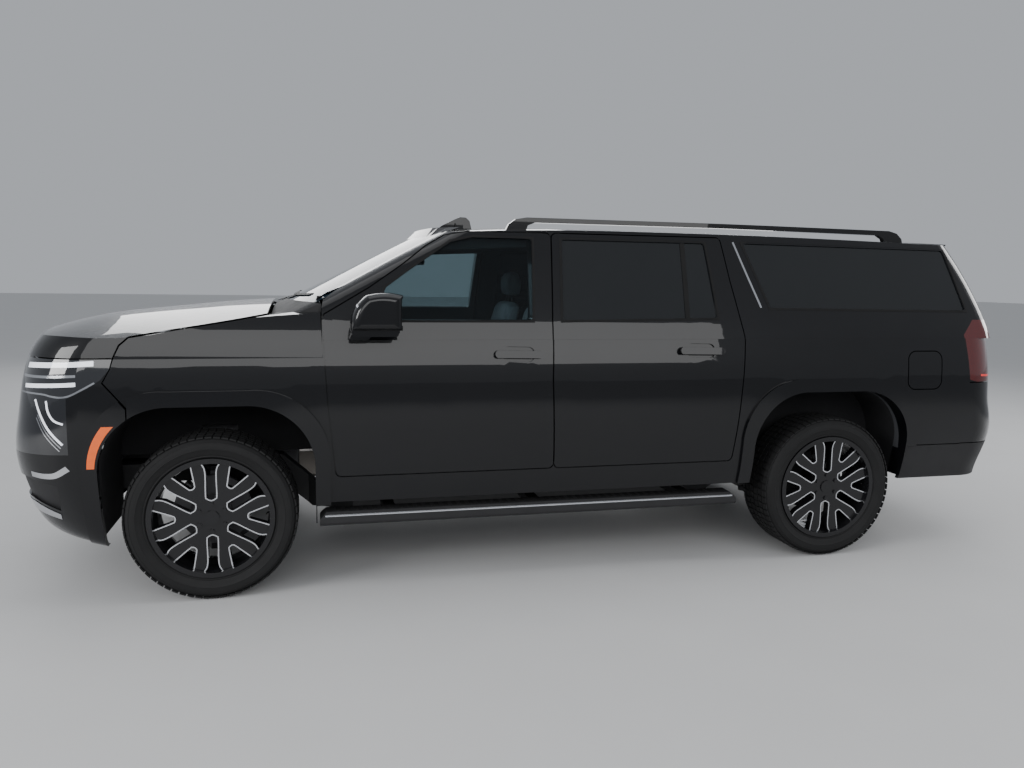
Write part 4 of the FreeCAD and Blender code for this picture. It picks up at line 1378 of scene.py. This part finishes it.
    def wipers(self) -> None:
        """Makes the two front wipers and the rear one, lying on the glass."""
        front = bmesh.new()
        glass = Skin("windshield", "cowl")
        for y0, y1, z1 in ((0.66, 0.06, 1.500), (0.02, -0.60, 1.498)):
            arm = [(y0, 1.452), ((y0 + y1) / 2 + 0.12, 1.474), ((y0 + y1) / 2, 1.485)]
            blade = [(y0 - 0.02, 1.496), ((y0 + y1) / 2, 1.490), (y1, z1)]
            lay_strip(front, glass, path2(Aim.NOSE, arm), 0.016, Aim.NOSE, 0.016, -0.008, 0.02, taper=0.6)
            lay_strip(front, glass, path2(Aim.NOSE, blade), 0.010, Aim.NOSE, 0.012, 0.0, 0.02)
        publish("front_wipers", front, Finish.PLASTIC, "body")
        rear = bmesh.new()
        pane = Skin("liftgate_glass", "liftgate")
        arm = path2(Aim.TAIL, [(0.0, 1.398), (0.10, 1.425), (0.18, 1.440)])
        blade = path2(Aim.TAIL, [(-0.05, 1.450), (0.15, 1.448), (0.36, 1.440)])
        lay_strip(rear, pane, arm, 0.018, Aim.TAIL, 0.016, -0.006, 0.02, taper=0.6)
        lay_strip(rear, pane, blade, 0.009, Aim.TAIL, 0.012, 0.0, 0.02)
        publish("rear_wiper", rear, Finish.PLASTIC, "liftgate_body")

    def boards(self) -> None:
        """Makes the rubber ribs on the running boards by a node tree."""
        seed = bmesh.new()
        add_bar(seed, (-0.012, -0.95, 0.4058), (0.012, -0.885, 0.4083), 0.0008)
        tree = Tree("board_ribs", Finish.RUBBER, Count=46, Start=-1.27, Step=0.0463)
        line = tree.node("GeometryNodeMeshLine", None, {
            "Count": tree.size("Count"), "Start Location": tree.vector(tree.size("Start")),
            "Offset": tree.vector(tree.size("Step"))})
        placed = tree.node("GeometryNodeInstanceOnPoints", None, {
            "Points": line.outputs[0], "Instance": tree.size("Geometry")})
        ribs = tree.bake(placed.outputs[0], seed)
        add_mirror(ribs)
        publish("running_board_ribs", ribs, Finish.RUBBER, "body", False)

    def mirrors(self) -> None:
        """Makes the mirror glasses and the turn lines on their housings."""
        for side in ("left", "right"):
            glass = bmesh.new()
            add_bar(glass, (-0.9905, -1.166, 1.360), (-0.9865, -1.054, 1.488), 0.0012)
            line = bmesh.new()
            turn_line = path2(Aim.NOSE, [(-1.165, 1.452), (-1.11, 1.462), (-1.05, 1.466)])
            lay_strip(line, Skin("mirror_left"), turn_line, 0.007, Aim.NOSE, 0.001)
            if side == "right":
                flip(glass)
                flip(line)
            publish(f"mirror_glass_{side}", glass, Finish.MIRROR, f"front_door_{side}_body", False)
            publish(f"mirror_turn_line_{side}", line, Finish.STRIP, f"front_door_{side}_body")

    def build(self) -> None:
        """Makes all of it."""
        self.sides()
        self.ends()
        self.boards()
        self.mirrors()


def soft_block(outline: Sequence[Flat], y0: float, y1: float, crown: float) -> bmesh.types.BMesh:
    """A rounded block whose side outline is carried across, crowned in the middle.

    Args:
        outline: The side outline as (x, z), in order.
        y0: The right-hand side.
        y1: The left-hand side.
        crown: How much smaller its two ends are.

    Returns:
        The closed mesh.
    """
    mesh = bmesh.new()
    line = [Vector((x, 0.0, z)) for x, z in outline]
    centre = sum(line, Vector()) / len(line)
    rings = []
    for k in range(BLOCK_RINGS):
        t = k / (BLOCK_RINGS - 1)
        edge = abs(2 * t - 1)
        size = 1.0 - crown * edge ** 6
        y = y0 + (y1 - y0) * t
        rings.append([mesh.verts.new((centre + (p - centre) * size) + Vector((0, y, 0))) for p in line])
    join_rings(mesh, rings, False)
    return mesh


def puffed(name: str, mesh: bmesh.types.BMesh, voxel: float, limit: float) -> bmesh.types.BMesh:
    """Swells a closed block like a stuffed cushion.

    Args:
        name: The cushion's name.
        mesh: The block, slightly smaller than the cushion.
        voxel: The size of the cloth's cells.
        limit: The most that a point may move.

    Returns:
        The swollen mesh.
    """
    bmesh.ops.recalc_face_normals(mesh, faces=mesh.faces)
    data = bpy.data.meshes.new(name + "_cloth")
    mesh.to_mesh(data)
    mesh.free()
    holder = bpy.data.objects.new(name + "_cloth", data)
    scene = bpy.context.scene
    scene.collection.objects.link(holder)
    remesh = holder.modifiers.new("remesh", "REMESH")
    remesh.mode = "VOXEL"
    remesh.voxel_size = voxel
    graph = bpy.context.evaluated_depsgraph_get()
    fine = bpy.data.meshes.new_from_object(holder.evaluated_get(graph))
    holder.modifiers.remove(remesh)
    holder.data = fine
    rest = [v.co.copy() for v in fine.vertices]
    cloth = holder.modifiers.new("cloth", "CLOTH")
    cloth.settings.use_pressure = True
    cloth.settings.uniform_pressure_force = CLOTH_PRESSURE
    cloth.settings.effector_weights.gravity = 0.0
    cloth.settings.quality = CLOTH_QUALITY
    cloth.point_cache.frame_start = 1
    cloth.point_cache.frame_end = CLOTH_FRAMES
    for step in range(1, CLOTH_FRAMES + 1):
        scene.frame_set(step)
    graph = bpy.context.evaluated_depsgraph_get()
    swollen = bpy.data.meshes.new_from_object(holder.evaluated_get(graph))
    holder.modifiers.remove(cloth)
    scene.frame_set(1)
    for vertex, at, was in zip(fine.vertices, swollen.vertices, rest):
        move = at.co - was
        vertex.co = was + (move.normalized() * limit if move.length > limit else move)
    bpy.data.meshes.remove(swollen)
    out = bmesh.new()
    out.from_mesh(fine)
    for _ in range(2):
        bmesh.ops.smooth_vert(out, verts=out.verts, factor=0.5,
                              use_axis_x=True, use_axis_y=True, use_axis_z=True)
    bpy.data.objects.remove(holder)
    return out


def sew(mesh: bmesh.types.BMesh, depth_at: Callable[[Vector], float]) -> None:
    """Draws seams and channels into a cushion.

    Args:
        mesh: The cushion.
        depth_at: How deep the surface is drawn in at a point.
    """
    mesh.normal_update()
    moves = [(v, v.normal * depth_at(v.co)) for v in mesh.verts]
    for vertex, move in moves:
        vertex.co -= move


def groove(distance: float, width: float, depth: float) -> float:
    """The depth of a rounded groove at a distance from its middle.

    Args:
        distance: The distance.
        width: The half width of the groove.
        depth: Its full depth.

    Returns:
        The depth there.
    """
    return depth * math.exp(-(distance / width) ** 2)


@dataclass
class Seats:
    """Three rows of padded seats with sewn channels, headrests, posts and belts."""

    floor: float = 0.575
    width: float = 0.54
    rows: Sequence[tuple[str, float, float]] = (("front", -0.70, 0.88), ("middle", 0.18, 0.86))
    lanes: Sequence[tuple[str, float]] = (("left", -0.43), ("right", 0.43))
    voxel: float = 0.007
    limit: float = 0.012

    def cushion(self) -> bmesh.types.BMesh:
        """A seat cushion round its own reference point.

        Returns:
            The cushion.
        """
        w = self.width / 2 - 0.014
        block = soft_block([(-0.045, 0.185), (-0.048, 0.255), (-0.02, 0.305), (0.06, 0.318), (0.22, 0.308),
                            (0.40, 0.300), (0.465, 0.298), (0.468, 0.185), (0.30, 0.175), (0.10, 0.175)],
                           -w, w, 0.10)
        made = puffed("cushion", block, self.voxel, self.limit)

        def depth(p: Vector) -> float:
            """The seams of the cushion.

            Args:
                p: A point on it.

            Returns:
                How deep it is drawn in.
            """
            if p.z < 0.24:
                return groove(p.z - 0.215, 0.005, 0.005)
            side = groove(abs(p.y) - 0.165, 0.007, 0.010)
            rib = sum(groove(p.x - x, 0.006, 0.006) for x in (0.06, 0.15, 0.24, 0.33))
            bolster = 0.008 * max(0.0, min(1.0, (abs(p.y) - 0.185) / 0.04)) * (p.z > 0.27)
            return max(side, rib if abs(p.y) < 0.165 else 0.0) - bolster

        sew(made, depth)
        return made

    def back(self, rise: float) -> bmesh.types.BMesh:
        """A backrest round the seat's reference point.

        Args:
            rise: The height of its top above the floor.

        Returns:
            The backrest.
        """
        w = self.width / 2 - 0.024
        block = soft_block([(0.435, 0.345), (0.530, 0.345), (0.600, 0.60), (0.665, rise - 0.02),
                            (0.640, rise - 0.006), (0.605, rise - 0.012), (0.540, 0.66), (0.500, 0.52)],
                           -w, w, 0.12)
        made = puffed("back", block, self.voxel, self.limit)

        def depth(p: Vector) -> float:
            """The seams of the backrest.

            Args:
                p: A point on it.

            Returns:
                How deep it is drawn in.
            """
            front = 0.43 + (p.z - 0.33) * 0.31 + 0.05
            if p.x > front + 0.01:
                return 0.0
            side = groove(abs(p.y) - 0.155, 0.007, 0.010)
            rib = sum(groove(p.z - z, 0.006, 0.006) for z in (0.42, 0.50, 0.58, 0.66, 0.74))
            return max(side, rib if abs(p.y) < 0.155 else 0.0)

        sew(made, depth)
        return made

    def head(self, rise: float) -> bmesh.types.BMesh:
        """A headrest round the seat's reference point.

        Args:
            rise: The height of the backrest's top above the floor.

        Returns:
            The headrest.
        """
        mesh = soft_block([(0.600, rise + 0.03), (0.690, rise + 0.03), (0.694, rise + 0.12),
                           (0.672, rise + 0.178), (0.625, rise + 0.184), (0.598, rise + 0.14)],
                          -0.122, 0.122, 0.16)
        made = puffed("head", mesh, 0.008, 0.006)
        sew(made, lambda p: groove(p.z - rise - 0.05, 0.004, 0.004))
        return made

    def shell(self, rise: float) -> bmesh.types.BMesh:
        """The hard base, side panels and headrest posts.

        Args:
            rise: The height of the backrest's top above the floor.

        Returns:
            The hard parts.
        """
        mesh = bmesh.new()
        add_bar(mesh, (0.0, -0.20, 0.03), (0.42, 0.20, 0.165), 0.012)
        for y in (-0.19, 0.19):
            add_bar(mesh, (-0.03, y - 0.02, 0.0), (0.44, y + 0.02, 0.032), 0.005)
        for y in (-0.262, 0.236):
            add_bar(mesh, (0.02, y, 0.11), (0.47, y + 0.026, 0.20), 0.010)
        for y in (-0.055, 0.055):
            add_tube(mesh, [(0.640, y, rise - 0.03), (0.648, y, rise + 0.06)], 0.0065, 12)
        return mesh

    def build(self) -> None:
        """Makes all the seats, the bench and the belts."""
        swaps = {"front": ["front_seats"], "middle": ["middle_seats"]}
        cushion = self.cushion()
        for row, x0, rise in self.rows:
            parts = {"cushion": (mesh_copy(cushion), Finish.LEATHER, 0.8),
                     "back": (self.back(rise), Finish.LEATHER, 0.8),
                     "head": (self.head(rise), Finish.LEATHER, 0.9),
                     "shell": (self.shell(rise), Finish.CABIN, 0.0)}
            for part, (shape, finish, fill) in parts.items():
                for lane, y0 in self.lanes:
                    twin = mesh_copy(shape)
                    bmesh.ops.translate(twin, verts=twin.verts, vec=(x0, y0, self.floor))
                    piece = publish(f"{row}_seat_{part}_{lane}", twin, finish, "body", True,
                                    swaps.pop(row, []))
                shape.free()
        cushion.free()
        self.bench()
        self.belts()

    def bench(self) -> None:
        """Makes the third row."""
        def depth(p: Vector) -> float:
            """The seams between the bench's places.

            Args:
                p: A point on the bench.

            Returns:
                How deep it is drawn in.
            """
            return max(groove(abs(p.y) - 0.19, 0.009, 0.011), groove(abs(p.y) - 0.42, 0.009, 0.009))

        block = soft_block([(1.235, 0.78), (1.232, 0.94), (1.26, 0.975), (1.40, 0.978), (1.60, 0.965),
                            (1.645, 0.96), (1.645, 0.75), (1.40, 0.74)], -0.572, 0.572, 0.05)
        seat = puffed("bench_seat", block, 0.012, self.limit)
        sew(seat, lambda p: depth(p) * (p.z > 0.85))
        piece = publish("third_row_cushion", seat, Finish.LEATHER, "body", True, ["third_row"])
        block = soft_block([(1.640, 1.01), (1.735, 1.01), (1.84, 1.45), (1.842, 1.50), (1.81, 1.507),
                            (1.790, 1.48)], -0.572, 0.572, 0.05)
        back = puffed("bench_back", block, 0.012, self.limit)
        sew(back, depth)
        publish("third_row_back", back, Finish.LEATHER, "body")

    def belts(self) -> None:
        """Makes the front and middle seat belts, from pillar to seat."""
        mesh = bmesh.new()
        for x0, y0 in ((-0.70, -0.43), (0.18, -0.43)):
            line = resample([(x0 + 0.70, y0 - 0.30, 1.48), (x0 + 0.635, y0 - 0.16, 1.37),
                             (x0 + 0.47, y0 + 0.02, 1.12), (x0 + 0.36, y0 + 0.19, 0.93),
                             (x0 + 0.34, y0 + 0.245, 0.88)], 0.02)
            rings = []
            for i, p in enumerate(line):
                along = (line[min(i + 1, len(line) - 1)] - line[max(i - 1, 0)]).normalized()
                flat = along.cross(Vector((1, 0, 0.35))).normalized() * 0.023
                thin = along.cross(flat).normalized() * 0.0009
                rings.append([mesh.verts.new(p + s * flat + t * thin)
                              for s, t in ((-1, -1), (1, -1), (1, 1), (-1, 1))])
            join_rings(mesh, rings, False)
        add_mirror(mesh)
        publish("seat_belts", mesh, Finish.WEBBING, "body")


@dataclass
class Cabin:
    """Steering wheel, screens, vents, console parts and mirror."""

    wheel: Point = (-0.83, -0.43, 1.18)
    tilt: float = math.radians(65)
    rim: float = 0.19
    grip: float = 0.0155

    def steering(self) -> None:
        """Makes the steering wheel in place of its plain solid."""
        mesh = bmesh.new()
        ring = [(self.rim * math.cos(TURN * i / 16), self.rim * math.sin(TURN * i / 16), 0.0)
                for i in range(16)]
        add_tube(mesh, ring, self.grip, 16, True, 0.012)
        for turn in (0.0, math.pi, -math.pi / 2):
            c, s = math.cos(turn + math.pi / 2), math.sin(turn + math.pi / 2)
            spoke = [(r * c, r * s, z) for r, z in ((0.045, -0.012), (0.11, -0.010), (0.18, -0.004))]
            add_tube(mesh, spoke, 0.017, 12, False, 0.012, 0.45)
        rings = []
        for r, z in ((0.0005, 0.012), (0.045, 0.011), (0.058, 0.004), (0.060, -0.012), (0.050, -0.03),
                     (0.026, -0.034), (0.026, -0.135), (0.0005, -0.135)):
            rings.append([mesh.verts.new((r * math.cos(a), r * math.sin(a), z))
                          for a in (TURN * k / 36 for k in range(36))])
        join_rings(mesh, rings, False)
        turn = Matrix.Translation(self.wheel) @ Matrix.Rotation(self.tilt, 4, "Y")
        bmesh.ops.transform(mesh, matrix=turn, verts=mesh.verts)
        publish("steering_wheel_trimmed", mesh, Finish.CABIN, "steering_wheel_body", True, ["steering_wheel"])

    def dash(self) -> None:
        """Makes the screens, vents, console parts and the mirror."""
        screens = bmesh.new()
        add_bar(screens, (-1.012, -0.165, 1.150), (-0.998, 0.235, 1.345), 0.004)
        add_bar(screens, (-1.020, -0.600, 1.235), (-1.006, -0.250, 1.345), 0.004)
        publish("dash_screens", screens, Finish.SCREEN, "body")
        seed = bmesh.new()
        add_bar(seed, (-1.012, -0.055, -0.0016), (-0.992, 0.055, 0.0016), 0.0006)
        tree = Tree("vent_blades", Finish.CABIN, Count=5, Step=0.011)
        line = tree.node("GeometryNodeMeshLine", None, {
            "Count": tree.size("Count"), "Offset": tree.vector(z=tree.size("Step"))})
        placed = tree.node("GeometryNodeInstanceOnPoints", None, {
            "Points": line.outputs[0], "Instance": tree.size("Geometry")})
        blades = tree.bake(placed.outputs[0], seed)
        vents = bmesh.new()
        for y in (-0.76, -0.19, 0.31, 0.76):
            twin = mesh_copy(blades)
            bmesh.ops.translate(twin, verts=twin.verts, vec=(0.0, y, 1.155 if abs(y) > 0.5 else 1.075))
            merge(vents, twin)
        blades.free()
        publish("dash_vents", vents, Finish.TURNED, "body", False)
        console = bmesh.new()
        add_bar(console, (-0.98, -0.115, 0.900), (-0.72, 0.115, 0.925), 0.008)
        add_bar(console, (-0.60, -0.120, 0.900), (-0.36, 0.120, 0.945), 0.014)
        for y in (-0.05, 0.05):
            rings = [[console.verts.new((-0.66 + r * math.cos(a), y + r * math.sin(a), z))
                      for a in (TURN * k / 28 for k in range(28))]
                     for r, z in ((0.043, 0.904), (0.043, 0.912), (0.036, 0.912), (0.034, 0.906))]
            join_rings(console, rings, False)
        add_bar(console, (-0.88, -0.02, 0.92), (-0.82, 0.02, 0.985), 0.012)
        publish("console_parts", console, Finish.GLOSS, "body")
        mirror = bmesh.new()
        add_bar(mirror, (-0.742, -0.12, 1.668), (-0.722, 0.12, 1.742), 0.008)
        add_tube(mirror, [(-0.742, 0.0, 1.72), (-0.775, 0.0, 1.765), (-0.80, 0.0, 1.80)], 0.010, 12)
        publish("cabin_mirror", mirror, Finish.CABIN, "body")

    def build(self) -> None:
        """Makes the cabin's parts."""
        self.steering()
        self.dash()


NODE_FINISHES: dict[Finish, tuple[str, ...]] = {
    Finish.PAINT: (
        "body_side_left", "body_side_right", "roof", "front_fenders", "hood", "front_bumper", "liftgate",
        "front_door_left", "front_door_right", "rear_door_left", "rear_door_right", "fuel_door",
        "mirror_left", "mirror_right", "rear_bumper"),
    Finish.GLOSS: ("grille", "roof_rails"),
    Finish.PLASTIC: ("cowl", "running_boards", "rear_valance", "lower_grille"),
    Finish.CHROME: ("skid_strip",),
    Finish.AMBER: ("side_markers",),
    Finish.LINER: ("arch_liners", "floor"),
    Finish.CABIN: ("dashboard", "steering_wheel"),
    Finish.LEATHER: ("front_seats", "middle_seats", "third_row"),
    Finish.CHASSIS: (
        "frame", "front_suspension", "rear_suspension", "fuel_tank", "spare_wheel", "radiator_support"),
    Finish.CAST: ("knuckle_left", "knuckle_right", "engine"),
    Finish.STEEL: ("exhaust",),
    Finish.FRONT_GLASS: ("windshield",),
    Finish.CLEAR_GLASS: ("front_door_glass_left", "front_door_glass_right"),
    Finish.DARK_GLASS: ("rear_door_glass_left", "rear_door_glass_right", "quarter_glass", "liftgate_glass"),
    Finish.SMOKED: ("headlamps",),
    Finish.RED: ("taillamps",),
    Finish.WHEEL: ("wheel_front_left", "wheel_front_right", "wheel_rear_left", "wheel_rear_right"),
    Finish.RUBBER: ("tyre_front_left", "tyre_front_right", "tyre_rear_left", "tyre_rear_right"),
}


@dataclass
class Studio:
    """Camera at the photograph's angle, pale floor and soft light."""

    eye: Point = (-1.3661, -5.0867, 1.5982)
    yaw: float = 0.2368
    pitch: float = -0.1294
    roll: float = 0.015
    lens: float = 28.68
    floor_half: float = 60.0
    lamps: Sequence[tuple[str, Point, Point, tuple[float, float], float]] = field(default_factory=lambda: [
        ("overhead", (0.0, -0.5, 6.5), (0.0, 0.0, 0.0), (9.0, 5.0), 130.0),
        ("left_long", (-0.5, -9.0, 4.2), (0.0, 0.0, 0.6), (12.0, 3.6), 400.0),
        ("nose_side", (-9.0, -5.0, 4.0), (-1.0, 0.0, 0.8), (4.0, 3.0), 420.0),
        ("far_side", (1.0, 9.0, 4.5), (0.0, 0.0, 0.8), (12.0, 3.0), 300.0),
        ("tail_side", (9.0, -1.0, 4.0), (1.0, 0.0, 0.8), (4.0, 3.0), 260.0),
    ])

    def camera(self) -> None:
        """Sets the camera."""
        data = bpy.data.cameras.new("photo_camera")
        data.sensor_width = 36.0
        data.lens = self.lens
        data.clip_end = 500.0
        cam = bpy.data.objects.new("photo_camera", data)
        bpy.context.scene.collection.objects.link(cam)
        ahead = Vector((math.sin(self.yaw) * math.cos(self.pitch),
                        math.cos(self.yaw) * math.cos(self.pitch), math.sin(self.pitch)))
        flat = Vector((math.cos(self.yaw), -math.sin(self.yaw), 0.0))
        top = flat.cross(ahead)
        right = math.cos(self.roll) * flat + math.sin(self.roll) * top
        top = -math.sin(self.roll) * flat + math.cos(self.roll) * top
        turn = Matrix((right, top, -ahead)).transposed().to_4x4()
        cam.matrix_world = Matrix.Translation(self.eye) @ turn
        bpy.context.scene.camera = cam

    def floor(self) -> None:
        """Lays the pale floor."""
        mesh = bpy.data.meshes.new("studio_floor")
        h = self.floor_half
        mesh.from_pydata([(-h, -h, 0), (h, -h, 0), (h, h, 0), (-h, h, 0)], [], [(0, 1, 2, 3)])
        slab = bpy.data.objects.new("studio_floor", mesh)
        bpy.context.scene.collection.objects.link(slab)
        g = Graph("pale_floor")
        mesh.materials.append(g.close(g.surface(
            Base_Color=g.blend(g.noise(2.0), (0.56, 0.56, 0.56), (0.60, 0.60, 0.60)), Roughness=0.6)))

    def light(self) -> None:
        """Hangs the soft lamps and sets the pale surround."""
        for name, place, aim, size, power in self.lamps:
            data = bpy.data.lights.new(name, "AREA")
            data.shape = "RECTANGLE"
            data.size, data.size_y = size
            data.energy = power
            lamp = bpy.data.objects.new(name, data)
            bpy.context.scene.collection.objects.link(lamp)
            lamp.location = place
            lamp.rotation_mode = "QUATERNION"
            lamp.rotation_quaternion = (Vector(aim) - Vector(place)).to_track_quat("-Z", "Y")
        world = bpy.data.worlds.new("pale_room")
        bpy.context.scene.world = world
        world.use_nodes = True
        world.node_tree.nodes["Background"].inputs[0].default_value = (0.86, 0.90, 0.96, 1.0)
        world.node_tree.nodes["Background"].inputs[1].default_value = 0.5

    def build(self) -> None:
        """Makes the whole stage."""
        self.camera()
        self.floor()
        self.light()
        LOG.info("studio ready")


def main() -> None:
    """Builds the vehicle's sub-assemblies in order."""
    logging.basicConfig(level=logging.INFO, format="%(name)s: %(message)s")
    Studio().build()
    for finish, names in NODE_FINISHES.items():
        for name in names:
            dress_node(name, finish)
    for part in (Wheels(), Lamps(), Front(), Trim(), Cabin(), Seats()):
        part.build()


if __name__ == "__main__":
    main()
